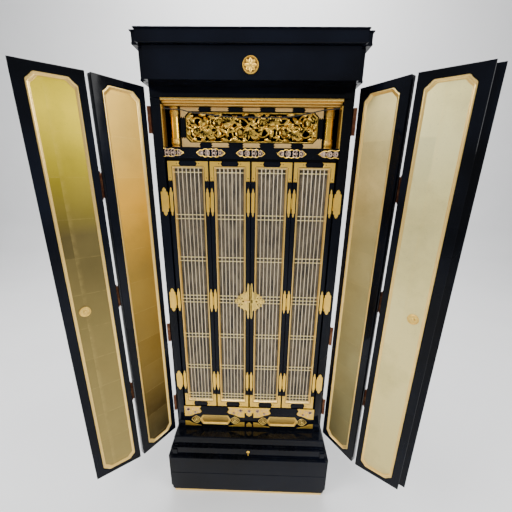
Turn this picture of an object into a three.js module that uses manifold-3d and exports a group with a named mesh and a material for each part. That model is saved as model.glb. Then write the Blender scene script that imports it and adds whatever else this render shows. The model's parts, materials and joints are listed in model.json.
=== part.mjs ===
// Household altar cabinet of black lacquer and gold leaf: a case with a crown and a moulded
// base, two pairs of folding outer doors, four lattice inner doors, a carved transom and a
// shallow drawer. Millimetres, +Z up, front towards -Y, origin on the floor below the centre.
// The y values below are measured from the plane of the inner doors' fronts.
import * as THREE from 'three';
import { mergeVertices } from 'three/addons/utils/BufferGeometryUtils.js';
import Module from 'manifold-3d';

const wasm = await Module();
wasm.setup();

// ---- driving dimensions -------------------------------------------------------------------
const GAP = 0.3; // between pieces that touch
const SIDES = [-1, 1]; // left and right

// heights of the members, from the floor up
const FOOT_TOP = 12.7;
const PLINTH_TOP = 196;
const CASE_TOP = 244; // the drawer case
const SLAB_TOP = 282;
const SILL_TOP = 295;
const PANEL_TOP = 395; // lower panel, and the floor inside
const LEAF_BOTTOM = 400; // inner doors
const LEAF_HEIGHT = 942;
const RAIL = { bottom: 1349.5, top: 1382, front: -4, back: 27, stop: 14 };
const LINTEL = { bottom: 1515, top: 1542 };
const FRIEZE_TOP = 1621.2;
const CROWN_TOP = 1653.5;

// half widths and front planes
const POST = { inner: 265.3, outer: 295, front: -2, back: 32, footTop: 321, headBottom: 1493.5 };
const BACK = 430; // rear face of the case
const DOOR_PLANE_Y = -107; // inner doors' front plane, from the middle of the depth over the open doors
const WALL = 14; // side panels
const SLAB = { half: 302, front: -43 };
const SILL = { front: -1.5, back: 38, groove: [287, 290] };
const CASE = { half: 317, front: -57, notch: 8 };
const PLINTH = { half: 327, front: -66, notch: 10, wall: 15, groove: 114 };
const FOOT = { half: 321, front: -60, width: 24 };
const FRIEZE = { half: 297, front: -63.4, notch: 16, wall: 15, floor: 8 };
const CROWN = { half: 308, front: -73.7, notch: 16, lip: 3 };

const KNUCKLE_SIDES = 6;
const PROUD = 1.1; // of hinge plates
const POST_PLATE = { tall: 44, shoulder: 6, from: -2.5, waist: 10, point: 24, barrel: 20, seamOut: 2.4 };
const LEAF_PLATE = { tall: 40, shoulder: 8, waist: 8, point: 13, barrel: 16, strap: 14 };
const NARROW_PLATE = { tall: 24, point: 9, lap: 0.4 };

const OPENING = 520; // clear width between the posts, taken by four leaves

// inner doors: four lattice leaves
const INNER = {
  half: 260.4, // outer edge of the outermost leaves
  seam: 0.6, // half the gap between two leaves
  middle: 0.8, // half the gap in the middle
  thick: 16,
  stile: 15,
  topRail: 15,
  bottomRail: 22,
  bars: 6, // uprights of the lattice
  bar: 2.6, // width of an upright and of a cross slat
  barDepth: [3, 6.4], // from the front plane
  slatDepth: [6.7, 10.2],
  gauzeDepth: [10.8, 11.8],
  slats: 7,
  firstSlat: 42, // from the leaf's bottom
  lastSlat: 915.6,
  pin: { y: -2.5, radius: 1.5 },
};
const HINGE_LEVELS = [524, 871.5, 1217.5]; // of the inner doors, from the floor
const LATCH = {
  level: 871.5,
  halfWidth: 56, // of both plates together
  halfHeight: 70,
  staple: { from: 4, to: 10, half: 7, front: -4.4 }, // from the middle outwards
  slot: { half: 4, front: -3.8, back: -1.4 }, // through the staple
  bolt: { from: -21, to: 0.5, half: 3, front: -3.2, back: -2, knob: 4 }, // drawn back
};

// outer doors: two folding leaves each side
const OUTER = {
  bottom: 285.2,
  top: 1540.5,
  width: 143,
  thick: 20,
  edge: 3.2, // from the pin to the leaf's edge
  face: 1, // from the pin's plane to the gilt face
  pinX: 303,
  pinY: -5,
  foldPin: { along: 149.2, deep: 23.5, radius: 2, half: 38 },
  foldGap: 3, // from the fold's pin to the outboard leaf
  openDeg: { '-1': 126, 1: 125.2 }, // from shut, as it stands
  foldDeg: { '-1': 17.9, 1: 20.3 },
  panel: { from: 17, to: 119, bottom: 302, top: 1521, cusp: 20, deep: 6 },
  brackets: [414, 739, 1455],
  folds: [570, 935, 1270],
};
const BRACKET = { half: 37, radius: 1.8 };
const RING = { along: 88, level: 915, radius: 15 };
const LIP = { beyond: 18, from: 131, proud: 6, clear: 0.4 };

const TRANSOM = { half: 217, front: 28, back: 44, openHalf: 203, bottom: 1398.6, top: 1485, corner: 14 };
const TRANSOM_TOP = 1497.1; // of the transom's frame and its columns
const COVE = { steps: 3, deep: 10, fall: 5.3, level: 1508, back: 28 };
const REVEAL = { thick: 3, top: 1497 };
const COLUMN = { x: 237, y: 40, radius: 16 };
const DRAWER = {
  half: 290,
  bottom: 201,
  top: 238,
  depth: 360,
  wall: 8,
  face: 14, // thickness of its front
  floor: 5,
  clear: 0.8, // all round, in its opening
  back: 3, // its front lies behind the case's
};
const MEDALLION = { radius: 22, level: 1576 };

// the cord across the transom, hanging slack between its two hooks (x, z)
const CORD = { radius: 1.5, sides: 8, steps: 60, y: 4 };
const CORD_ROUTE = [
  [-258.4, 1489], [-250, 1487.2], [-228, 1485.9], [-206, 1484], [-182, 1478.5], [-165, 1476.8],
  [-147, 1475.5], [-112, 1470.5], [-69, 1467], [-37, 1466.2], [-5, 1465.9], [25, 1465.9],
  [55, 1466], [102, 1467.5], [133, 1471], [161, 1476], [187, 1481.5], [212, 1486.5],
  [235, 1489.2], [258.4, 1491.5],
];
const HOOK = { radius: 2.6, long: 2.4 };

// ---- colours ------------------------------------------------------------------------------
const finish = (color, roughness, metalness) => () =>
  new THREE.MeshStandardMaterial({ color, roughness, metalness });
const lacquer = finish('#0b0d12', 0.12, 0.0);
const goldLeaf = finish('#b08a3a', 0.38, 0.9);
const gilt = finish('#e0bd6a', 0.3, 1.0);
const bronze = finish('#6b3a22', 0.5, 0.8);
const gauze = finish('#8f8468', 0.9, 0.0);
const cordFibre = finish('#2a2a26', 0.8, 0.0);

// ---- solids -------------------------------------------------------------------------------
function solid(geometry) {
  const bare = geometry.clone();
  bare.deleteAttribute('normal');
  bare.deleteAttribute('uv');
  const merged = mergeVertices(bare, 1e-4);
  return new wasm.Manifold(
    new wasm.Mesh({
      numProp: 3,
      vertProperties: new Float32Array(merged.attributes.position.array),
      triVerts: new Uint32Array(merged.index.array),
    }),
  );
}

function geometryOf(shape) {
  const mesh = shape.getMesh();
  const geometry = new THREE.BufferGeometry();
  geometry.setAttribute('position', new THREE.BufferAttribute(new Float32Array(mesh.vertProperties), 3));
  geometry.setIndex(new THREE.BufferAttribute(new Uint32Array(mesh.triVerts), 1));
  geometry.computeVertexNormals();
  return geometry;
}

const join = (shapes) => shapes.reduce((all, one) => all.add(one));

function box(x0, x1, y0, y1, z0, z1) {
  const geometry = new THREE.BoxGeometry(Math.abs(x1 - x0), Math.abs(y1 - y0), Math.abs(z1 - z0));
  geometry.translate((x0 + x1) / 2, (y0 + y1) / 2, (z0 + z1) / 2);
  return solid(geometry);
}

const shapeOf = (points) => new THREE.Shape(points.map(([a, b]) => new THREE.Vector2(a, b)));

// an outline in plan, standing from z0 to z1, its edges eased by a bevel
function standing(points, z0, z1, bevel = 0) {
  const geometry = new THREE.ExtrudeGeometry(shapeOf(points), {
    depth: z1 - z0 - 2 * bevel,
    bevelEnabled: bevel > 0,
    bevelThickness: bevel,
    bevelSize: bevel,
    bevelOffset: -bevel,
    bevelSegments: 1,
  });
  geometry.translate(0, 0, z0 + bevel);
  return solid(geometry);
}

// an outline in front view (x, z), from the plane y = front back to y = back
function facing(points, front, back) {
  const geometry = new THREE.ExtrudeGeometry(shapeOf(points), { depth: back - front, bevelEnabled: false });
  geometry.rotateX(Math.PI / 2);
  geometry.translate(0, back, 0);
  return solid(geometry);
}

// an outline in side view (y, z), running along x
function running(points, x0, x1) {
  const geometry = new THREE.ExtrudeGeometry(shapeOf(points), { depth: x1 - x0, bevelEnabled: false });
  geometry.rotateX(Math.PI / 2);
  geometry.rotateZ(Math.PI / 2);
  geometry.translate(x0, 0, 0);
  return solid(geometry);
}

// a hinge knuckle, standing from z0 to z1
function knuckleAt(x, y, radius, z0, z1) {
  const geometry = new THREE.CylinderGeometry(radius, radius, z1 - z0, KNUCKLE_SIDES);
  geometry.rotateX(Math.PI / 2);
  geometry.translate(x, y, (z0 + z1) / 2);
  return solid(geometry);
}

// a plan with a square notch taken out of both front corners
function notchedPlan({ half, front, notch }, back, grow = 0) {
  const w = half + grow;
  const f = front - grow;
  return [
    [-w, back],
    [-w, f + notch],
    [-w + notch, f + notch],
    [-w + notch, f],
    [w - notch, f],
    [w - notch, f + notch],
    [w, f + notch],
    [w, back],
  ];
}

// a rectangle with its corners cut straight
function cutRectangle(x0, x1, z0, z1, cut) {
  return [
    [x0 + cut, z0],
    [x1 - cut, z0],
    [x1, z0 + cut],
    [x1, z1 - cut],
    [x1 - cut, z1],
    [x0 + cut, z1],
    [x0, z1 - cut],
    [x0, z0 + cut],
  ];
}

// a rectangle whose corners step in twice round a slanted cut, as on the gilt panels
function cuspedRectangle(x0, x1, z0, z1, cusp) {
  const near = cusp * 0.25;
  const corner = [
    [0, cusp],
    [near, cusp * 0.85],
    [cusp * 0.85, near],
    [cusp, 0],
  ];
  const place = (cx, cz, sx, sz) => corner.map(([a, b]) => [cx + sx * a, cz + sz * b]);
  return [
    ...place(x0, z0, 1, 1),
    ...place(x1, z0, -1, 1).reverse(),
    ...place(x1, z1, -1, -1),
    ...place(x0, z1, 1, -1).reverse(),
  ];
}

// petals round a centre, as one outline
function rosette(x, z, petals, outer, inner, steps = 3, turn = 0) {
  const points = [];
  const count = petals * steps;
  for (let i = 0; i < count; i++) {
    const swell = Math.sin((Math.PI * (i % steps)) / steps);
    const r = inner + (outer - inner) * swell;
    const angle = turn + (2 * Math.PI * i) / count;
    points.push([x + r * Math.cos(angle), z + r * Math.sin(angle)]);
  }
  return points;
}

// a band of a given width along a curve given as a function of t in 0..1
function band(curve, steps, width) {
  const left = [];
  const right = [];
  for (let i = 0; i <= steps; i++) {
    const t = i / steps;
    const [x, z] = curve(t);
    const [xa, za] = curve(Math.max(t - 0.01, 0));
    const [xb, zb] = curve(Math.min(t + 0.01, 1));
    const length = Math.hypot(xb - xa, zb - za);
    const half = width(t) / 2;
    const nx = (-(zb - za) / length) * half;
    const nz = ((xb - xa) / length) * half;
    left.push([x + nx, z + nz]);
    right.push([x - nx, z - nz]);
  }
  return [...left, ...right.reverse()];
}

// a pointed leaf from a stalk, with a widest point along its length
function leafOutline(x, z, length, width, angle) {
  const profile = [
    [0, 0],
    [0.3, 0.42],
    [0.62, 0.5],
    [1, 0],
    [0.62, -0.5],
    [0.3, -0.42],
  ];
  return profile.map(([a, b]) => {
    const along = a * length;
    const across = b * width;
    return [
      x + along * Math.cos(angle) - across * Math.sin(angle),
      z + along * Math.sin(angle) + across * Math.cos(angle),
    ];
  });
}

const cabinet = new THREE.Group();

function place(name, shape, material, parent = cabinet) {
  const mesh = new THREE.Mesh(geometryOf(shape), material());
  mesh.name = name;
  parent.add(mesh);
  return mesh;
}

// ---- base ---------------------------------------------------------------------------------
function footBand() {
  const rearEdge = BACK - 2;
  const outer = standing(notchedPlan({ ...FOOT, notch: PLINTH.notch }, rearEdge), 0, FOOT_TOP);
  const inner = box(-FOOT.half + FOOT.width, FOOT.half - FOOT.width, FOOT.front + FOOT.width,
    rearEdge - FOOT.width, -1, FOOT_TOP + 1);
  return outer.subtract(inner);
}

function plinth() {
  const bottom = FOOT_TOP + GAP;
  const body = join([
    standing(notchedPlan(PLINTH, BACK, -3), bottom, bottom + 12, 2),
    standing(notchedPlan(PLINTH, BACK), bottom + 10, PLINTH.groove, 1.5),
    standing(notchedPlan(PLINTH, BACK, -1.5), PLINTH.groove - 3, PLINTH.groove + 3),
    standing(notchedPlan(PLINTH, BACK), PLINTH.groove, PLINTH_TOP - GAP, 1.5),
  ]);
  const { half, front, notch, wall } = PLINTH;
  const inside = wall + notch;
  return body.subtract(
    box(-half + inside, half - inside, front + inside, BACK - wall, bottom - 1, PLINTH_TOP - GAP - wall),
  );
}

function drawerCase() {
  const body = join([
    standing(notchedPlan(CASE, BACK), PLINTH_TOP, 229, 1),
    standing(notchedPlan(CASE, BACK, -4), 228, 236),
    standing(notchedPlan(CASE, BACK, -9), 235, CASE_TOP - GAP),
  ]);
  const { half, bottom, top, depth } = DRAWER;
  return body.subtract(box(-half, half, CASE.front - 10, CASE.front + depth + GAP, bottom, top));
}

function drawer() {
  const { bottom, top, depth, wall, face, floor, clear, back } = DRAWER;
  const half = DRAWER.half - clear;
  const front = CASE.front + back;
  const end = CASE.front + depth - 1;
  const body = box(-half, half, front, end, bottom + clear, top - clear);
  const hollow = box(-half + wall, half - wall, front + face, end - wall, bottom + clear + floor, top + 1);
  return body.subtract(hollow);
}

function drawerPull() {
  const y = CASE.front + DRAWER.back - GAP;
  const rose = facing(rosette(0, 224, 10, 7, 7, 1), y - 2.5, y);
  const drop = facing(cutRectangle(-3.2, 3.2, 208, 222, 1.6), y - 5, y - 1.5);
  return rose.add(drop);
}

function slab() {
  const plan = [[-SLAB.half, BACK], [-SLAB.half, SLAB.front], [SLAB.half, SLAB.front], [SLAB.half, BACK]];
  return standing(plan, CASE_TOP, SLAB_TOP, 3);
}

function sill() {
  const { front, back, groove } = SILL;
  const board = box(-POST.inner + GAP, POST.inner - GAP, front, back, SLAB_TOP + GAP, SILL_TOP - GAP);
  return board.subtract(box(-POST.inner - 1, POST.inner + 1, front - 1, front + 1.5, ...groove));
}

// ---- lower panel with its gilt mounts --------------------------------------------------------
const PANEL = { thick: 18, below: 21, recess: 5, proud: 1.5 };
const COFFERS = [-139, 137]; // their middles, and the outline of one
const COFFER = [[-66, 0], [-52, -28], [52, -28], [66, 0], [52, 28], [-52, 28]];
const EYES = [-218, -58, 59, 218]; // almond bosses
const EYE = [[-11, 0], [-6, 10], [0, 14], [6, 10], [11, 0], [6, -10], [0, -14], [-6, -10]];
const LOBES = [[0, 0], [88, 0], [82, -12], [66, -16], [52, -12], [36, -30], [18, -34], [0, -38]];
const END_LOBES = { wide: 0.8, tall: 0.9 }; // the half mounts at the ends, as a share of the middle one
const FOOT_END = [[0, 0], [74, 0], [24, 13], [0, 20]]; // from the post inwards
const FOOT_MIDDLE = [[10, 0], [86, 0], [34, 13], [10, 22]]; // from the middle outwards

function lowerPanel() {
  const half = POST.inner - GAP;
  const top = PANEL_TOP - GAP;
  const middle = (SILL_TOP + PANEL_TOP) / 2 - PANEL.below;
  const mount = (points) => facing(points, -PANEL.proud, 1);
  let board = box(-half, half, 0, PANEL.thick, SILL_TOP, top);
  for (const x of COFFERS) {
    board = board.subtract(facing(COFFER.map(([a, b]) => [x + a, middle + b]), -1, PANEL.recess));
  }
  const mounts = EYES.map((x) => mount(EYE.map(([a, b]) => [x + a, middle + b])));
  for (const side of SIDES) {
    const { wide, tall } = END_LOBES;
    mounts.push(
      mount(LOBES.map(([a, b]) => [side * a, top + b])),
      mount(LOBES.map(([a, b]) => [side * (half - a * wide), top + b * tall])),
      mount(FOOT_END.map(([a, b]) => [side * (half - a), SILL_TOP + b])),
      mount(FOOT_MIDDLE.map(([a, b]) => [side * a, SILL_TOP + b])),
    );
  }
  return join([board, ...mounts]);
}

// ---- case -----------------------------------------------------------------------------------
function post(side) {
  const { inner, outer, front, back, footTop, headBottom } = POST;
  const top = LINTEL.bottom - GAP;
  const shaft = box(side * inner, side * outer, front, back, SLAB_TOP + GAP, top);
  const foot = box(side * inner, side * outer, front - 1.5, back, SLAB_TOP + GAP, footTop);
  const head = box(side * inner, side * outer, front - 1.2, back, headBottom, top);
  const plates = HINGE_LEVELS.map((level) => {
    const { tall, shoulder, from, waist, point, barrel, seamOut } = POST_PLATE;
    const points = [
      [side * (inner + from), level - tall],
      [side * (inner + from), level + tall],
      [side * (inner + waist), level + tall - shoulder],
      [side * (inner + point), level],
      [side * (inner + waist), level - tall + shoulder],
    ];
    const flat = facing(points, front - PROUD, front + 0.5);
    const { y, radius } = INNER.pin;
    const knuckle = knuckleAt(side * (INNER.half + seamOut), y, radius, level - barrel, level + barrel);
    return flat.add(knuckle);
  });
  return join([shaft, foot, head, ...plates]);
}

function sidePanel(side) {
  return box(side * (POST.outer - WALL), side * POST.outer, POST.back + GAP, BACK - 8 - GAP,
    SLAB_TOP + GAP, LINTEL.top);
}

function backPanel() {
  return box(-POST.outer, POST.outer, BACK - 8, BACK, SLAB_TOP + GAP, LINTEL.top);
}

function shelf(bottom, top, front) {
  const half = POST.outer - WALL - GAP;
  return box(-half, half, front, BACK - 8 - GAP, bottom, top);
}

function lintel() {
  const { bottom, top } = LINTEL;
  const { outer, front, back } = POST;
  const board = box(-outer, outer, front, back, bottom, top);
  const bead = box(-outer, outer, front - 1.2, front + 2, bottom, bottom + 3.5);
  return board.add(bead);
}

function frieze() {
  const bottom = LINTEL.top + GAP;
  const { half, front, notch, wall, floor } = FRIEZE;
  const body = join([
    standing(notchedPlan(FRIEZE, BACK), bottom, FRIEZE_TOP, 1.2),
    standing(notchedPlan(FRIEZE, BACK, 1), bottom, bottom + 4),
  ]);
  const inside = half - wall - notch;
  const hollow = box(-inside, inside, front + wall + notch, BACK - wall, bottom + floor, FRIEZE_TOP + 1);
  const fillet = box(-half + 9, half - 9, -33, POST.front - GAP, bottom - 1, bottom + 1);
  return body.subtract(hollow).add(fillet);
}

function crown() {
  const bottom = FRIEZE_TOP + GAP;
  return join([
    standing(notchedPlan(CROWN, BACK), bottom, CROWN_TOP - 2, 1.2),
    standing(notchedPlan(CROWN, BACK, 1), bottom + 1, bottom + 5),
    standing(notchedPlan(CROWN, BACK, CROWN.lip), CROWN_TOP - 3, CROWN_TOP),
  ]);
}

// a round boss: rim, sunk ground and an eight-petalled flower
function medallion() {
  const { radius, level } = MEDALLION;
  const y = FRIEZE.front - GAP;
  const outline = rosette(0, level, 18, radius, radius, 1);
  const ground = rosette(0, level, 18, radius - 4, radius - 4, 1);
  const flower = rosette(0, level, 8, radius - 5, radius - 10, 2);
  return join([
    facing(outline, y - 4, y).subtract(facing(ground, y - 5, y - 2.2)),
    facing(flower, y - 3.6, y - 2),
    facing(rosette(0, level, 8, 4, 4, 1), y - 4.6, y - 2),
  ]);
}

// stepped gilt moulding below the lintel
function giltCove() {
  const { steps, deep, fall, level } = COVE;
  const points = [[POST.front, LINTEL.bottom - GAP]];
  for (let i = 0; i < steps; i++) {
    const z = level - i * fall;
    points.push([POST.front + i * deep, z], [POST.front + (i + 1) * deep, z]);
  }
  points.push([POST.front + steps * deep, LINTEL.bottom - GAP]);
  return running(points, -POST.inner + GAP, POST.inner - GAP);
}

function giltReveal(side) {
  const { inner, front } = POST;
  const outer = inner - GAP;
  return box(side * outer, side * (outer - REVEAL.thick), front, COVE.back, RAIL.top + GAP, REVEAL.top);
}

function column(side) {
  const { x, y, radius } = COLUMN;
  const bottom = RAIL.top + GAP;
  const top = TRANSOM_TOP;
  const height = top - bottom;
  const cap = 0.24 * height;
  const swell = radius - 0.5;
  const foot = [[0, 0], [radius, 0], [radius, 4], [radius - 2.5, 8], [swell, cap * 0.5], [radius - 4, cap]];
  const head = foot.map(([r, z]) => [r, height - z]).reverse();
  const outline = [...foot, ...head].map(([r, z]) => new THREE.Vector2(r, z));
  const geometry = new THREE.LatheGeometry(outline, 12);
  geometry.rotateX(Math.PI / 2);
  geometry.translate(side * x, y, bottom);
  return solid(geometry);
}

function transomFrame() {
  const { half, front, back, openHalf, bottom, top, corner } = TRANSOM;
  const board = box(-half, half, front + GAP, back, RAIL.top + GAP, TRANSOM_TOP);
  const window = cutRectangle(-openHalf, openHalf, bottom, top, corner);
  return board.subtract(facing(window, front - 1, back + 1));
}

// openwork of a running vine with scrolls, leaves and five-petalled blossoms
function transomCarving() {
  const { front, openHalf, bottom, top, corner } = TRANSOM;
  const y0 = front - 2;
  const y1 = front + 12;
  const middle = (bottom + top) / 2;
  const reach = (top - bottom) / 2;
  const half = openHalf - GAP;
  const border = facing(cutRectangle(-half, half, bottom + GAP, top - GAP, corner), y0 + 5, y1)
    .subtract(facing(cutRectangle(-half + 4, half - 4, bottom + 4, top - 4, corner), y0, y1 + 1));
  const turns = 6;
  const vineAt = (t) => [(2 * t - 1) * (half - 2), middle + Math.sin(Math.PI * turns * t) * reach * 0.62];
  const pieces = [border, facing(band(vineAt, 22, () => 7), y0 + 4, y1 - 3)];
  for (let i = 0; i < turns; i++) {
    const x = ((i + 0.5) / turns) * 2 * half - half;
    const up = i % 2 === 0 ? -1 : 1;
    const z = middle + up * reach * 0.3;
    const scroll = (t) => {
      const angle = up * (Math.PI * 0.5 + t * 1.45 * Math.PI);
      const r = 24 - 15 * t;
      return [x + r * Math.cos(angle) * 1.15, z + r * Math.sin(angle) * 0.95];
    };
    pieces.push(facing(band(scroll, 6, (t) => 7 - 3 * t), y0 + 3, y1 - 4));
    pieces.push(facing(rosette(x, z, 5, 12, 7, 2, up), y0, y1 - 4));
    for (const turn of [0.2, 2.9]) {
      const stalk = [x + 20 * Math.cos(turn), middle - up * reach * 0.42];
      const lean = -up * 1.25 + (turn > 1 ? 0.7 : -0.7);
      pieces.push(facing(leafOutline(...stalk, 28, 15, lean), y0 + 1, y1 - 5));
    }
  }
  const room = facing(cutRectangle(-half, half, bottom + GAP, top - GAP, corner), y0 - 1, y1 + 1);
  return join(pieces).intersect(room);
}

function rail() {
  const { bottom, top, front, back } = RAIL;
  const half = POST.inner - GAP;
  const board = box(-half, half, front, back, bottom, top);
  const stop = box(-half, half, INNER.thick + 1.5, back, bottom - RAIL.stop, bottom + 1);
  return board.add(stop);
}

// long lobed mounts on the rail: three whole and a half at each end
const RAIL_MOUNTS = [
  { name: 'rail_mount_left_end', x: -POST.inner + GAP, ends: [1] },
  { name: 'rail_mount_left', x: -121.8, ends: [-1, 1] },
  { name: 'rail_mount_middle', x: -0.7, ends: [-1, 1] },
  { name: 'rail_mount_right', x: 122.8, ends: [-1, 1] },
  { name: 'rail_mount_right_end', x: POST.inner - GAP, ends: [-1] },
];

function railMount({ x, ends }) {
  const level = (RAIL.bottom + RAIL.top) / 2;
  const reach = ends.length > 1 ? 43 : 61;
  const upper = [[0, 13], [0.22, 10], [0.4, 12.5], [0.58, 8], [0.76, 9], [1, 0]];
  const halves = ends.map((end) => {
    const points = [
      ...upper.map(([a, b]) => [x + end * a * reach, level + b]),
      ...upper.slice(0, -1).reverse().map(([a, b]) => [x + end * a * reach, level - b]),
    ];
    return facing(points, RAIL.front - GAP - 1.6, RAIL.front - GAP);
  });
  return join(halves);
}

// ---- inner doors --------------------------------------------------------------------------------
// leaf k of 0..3 from the left
function leafSpan(k) {
  const quarter = OPENING / 4;
  const start = -OPENING / 2 + k * quarter;
  const left = k === 0 ? -INNER.half : start + (k === 2 ? INNER.middle : INNER.seam);
  const right = k === 3 ? INNER.half : start + quarter - (k === 1 ? INNER.middle : INNER.seam);
  return [left, right];
}

// the uprights stand clear in front of the cross slats, all of them let into the frame
function lattice(k) {
  const [left, right] = leafSpan(k);
  const { thick, stile, topRail, bottomRail, bars, bar, barDepth, slatDepth, slats } = INNER;
  const bottom = LEAF_BOTTOM;
  const top = bottom + LEAF_HEIGHT;
  const x0 = left + stile;
  const x1 = right - stile;
  const z0 = bottom + bottomRail;
  const z1 = top - topRail;
  const layer = (y0, y1) => box(x0, x1, y0, y1, z0, z1);
  const cuts = [layer(-1, barDepth[0]), layer(barDepth[1], slatDepth[0]), layer(slatDepth[1], thick + 1)];
  const pitch = (x1 - x0 + bar) / (bars + 1);
  for (let i = 0; i <= bars; i++) {
    const start = x0 + i * pitch;
    cuts.push(box(start, start + pitch - bar, barDepth[0] - 1, barDepth[1], z0, z1));
  }
  const rise = (INNER.lastSlat - INNER.firstSlat) / (slats - 1);
  const levels = Array.from({ length: slats }, (_, i) => bottom + INNER.firstSlat + i * rise);
  const edges = [z0 - bar / 2, ...levels, z1 + bar / 2];
  for (let i = 0; i + 1 < edges.length; i++) {
    cuts.push(box(x0, x1, slatDepth[0], slatDepth[1] + 1, edges[i] + bar / 2, edges[i + 1] - bar / 2));
  }
  return box(left, right, 0, thick, bottom, top).subtract(join(cuts));
}

// pointed hinge plates on a leaf, on the side of the seam that it lies
function hingePlates(edge, inward, seamX) {
  const { tall, shoulder, waist, point, barrel, strap } = LEAF_PLATE;
  const { y, radius } = INNER.pin;
  return HINGE_LEVELS.map((level) => {
    const points = [
      [edge, level - tall],
      [edge, level + tall],
      [edge + inward * waist, level + tall - shoulder],
      [edge + inward * point, level],
      [edge + inward * waist, level - tall + shoulder],
    ];
    return join([
      facing(points, -PROUD, 0.5),
      knuckleAt(seamX, y, radius, level - barrel, level + barrel),
      box(edge, seamX, y + 0.6, -0.4, level - strap, level + strap),
    ]);
  });
}

function innerLeaf(k) {
  const [left, right] = leafSpan(k);
  const side = k < 2 ? -1 : 1;
  const outerLeaf = k === 0 || k === 3;
  const hingeEdge = side < 0 ? left : right;
  const seamEdge = side < 0 ? right : left;
  const pieces = [lattice(k)];
  if (outerLeaf) {
    pieces.push(...hingePlates(seamEdge, side, side * OPENING / 4));
  }
  const { tall, point, lap } = NARROW_PLATE;
  const start = hingeEdge - side * lap;
  const narrow = HINGE_LEVELS.map((level) => facing(
    [[start, level - tall], [start, level + tall], [start - side * point, level]], -PROUD, 0.5));
  return join([...pieces, ...narrow]);
}

function gauzeSheet(k) {
  const [left, right] = leafSpan(k);
  const { stile, topRail, bottomRail, gauzeDepth } = INNER;
  return box(left + stile + GAP, right - stile - GAP, ...gauzeDepth,
    LEAF_BOTTOM + bottomRail + GAP, LEAF_BOTTOM + LEAF_HEIGHT - topRail - GAP);
}

// half of the lozenge plate
function latchPlate(side) {
  const { level, halfWidth, halfHeight } = LATCH;
  const start = INNER.middle + GAP;
  const upper = [
    [start + 10, halfHeight - 16], [22, halfHeight - 32], [34, 26], [44, 13],
  ];
  const points = [
    [start, -halfHeight],
    ...upper.map(([a, b]) => [a, -b]),
    [halfWidth, 0],
    ...upper.reverse(),
    [start, halfHeight],
  ];
  return facing(points.map(([a, b]) => [side * a, level + b]), -1.4, -GAP);
}

// the bridge through which the bolt runs, open towards the plate behind it
function staple(side, back) {
  const { level, slot } = LATCH;
  const { from, to, half, front } = LATCH.staple;
  const bridge = box(side * from, side * to, front, back, level - half, level + half);
  const room = box(side * (from - 1), side * (to + 1), slot.front, 1, level - slot.half, level + slot.half);
  return bridge.subtract(room);
}

function latchBolt() {
  const { level, bolt } = LATCH;
  const bar = box(bolt.from, bolt.to, bolt.front, bolt.back, level - bolt.half, level + bolt.half);
  const reach = bolt.half + 1.6;
  const { front } = LATCH.staple;
  const knob = box(bolt.from, bolt.from + bolt.knob, front, bolt.back, level - reach, level + reach);
  return bar.add(knob);
}

// ---- outer doors --------------------------------------------------------------------------------
// a leaf in its own frame: the pin at the origin, the leaf running along +x for the left-hand
// door (along -x for the right), the gilt face towards +y and the black face towards -y
function outerLeaf(along, deep, from, out) {
  const { bottom, top, width, thick, panel } = OUTER;
  const x = (a) => out * (a - along);
  const face = deep - OUTER.face;
  const board = box(x(from), x(from + width), face, face - thick, bottom, top);
  const p0 = x(from + panel.from);
  const p1 = x(from + panel.to);
  const sunk = (inset, depth) => facing(
    cuspedRectangle(Math.min(p0, p1) + inset, Math.max(p0, p1) - inset, panel.bottom + inset,
      panel.top - inset, panel.cusp), face - depth, face + 1);
  return board.subtract(sunk(0, 2.5)).subtract(sunk(7, panel.deep));
}

function foldHinges(along, deep, out) {
  const { foldPin, folds, thick, face } = OUTER;
  const black = deep - face - thick;
  const pinX = out * (foldPin.along - along);
  const flap = foldPin.half - 4;
  return folds.flatMap((level) => [
    knuckleAt(pinX, deep - foldPin.deep, foldPin.radius, level - foldPin.half, level + foldPin.half),
    box(pinX - out * 24, pinX - out * 1.2, black + 0.4, black - 2, level - flap, level + flap),
    box(pinX - out * 3, pinX, black - 0.9, deep - foldPin.deep + 0.8, level - flap, level + flap),
  ]);
}

function bracket(side, level) {
  const { pinX, pinY } = OUTER;
  const { half, radius } = BRACKET;
  const knuckle = knuckleAt(side * pinX, pinY, radius, level - half, level + half);
  const root = side * (POST.outer + GAP);
  const arm = box(root, side * (pinX - 0.5), pinY + 0.4, pinY + 2.2, level - half, level + half);
  const flange = box(root, side * (POST.outer + 2), pinY + 0.4, 20, level - half, level + half);
  return join([knuckle, arm, flange]);
}

function ringPull(along, deep, from, out) {
  const { panel, face } = OUTER;
  const x = out * (from + RING.along - along);
  const ground = deep - face - panel.deep;
  const { radius, level } = RING;
  const base = facing(rosette(x, level, 14, radius, radius, 1), ground + GAP, ground + 1.8);
  const torus = new THREE.TorusGeometry(radius - 2.5, 1.9, 5, 14);
  torus.rotateX(Math.PI / 2);
  torus.translate(x, ground + 3, level);
  const boss = facing(rosette(x, level, 8, 5, 5, 1), ground + 1, ground + 4);
  return join([base, solid(torus), boss]);
}

function closingLip(along, deep, from, out) {
  const { bottom, top, width, thick, face } = OUTER;
  const black = deep - face - thick;
  const x = (a) => out * (a - along);
  const [x0, x1] = [x(from + LIP.from), x(from + width + LIP.beyond)];
  return box(x0, x1, black - LIP.clear, black - LIP.proud, bottom + 2, top - 2);
}

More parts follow.
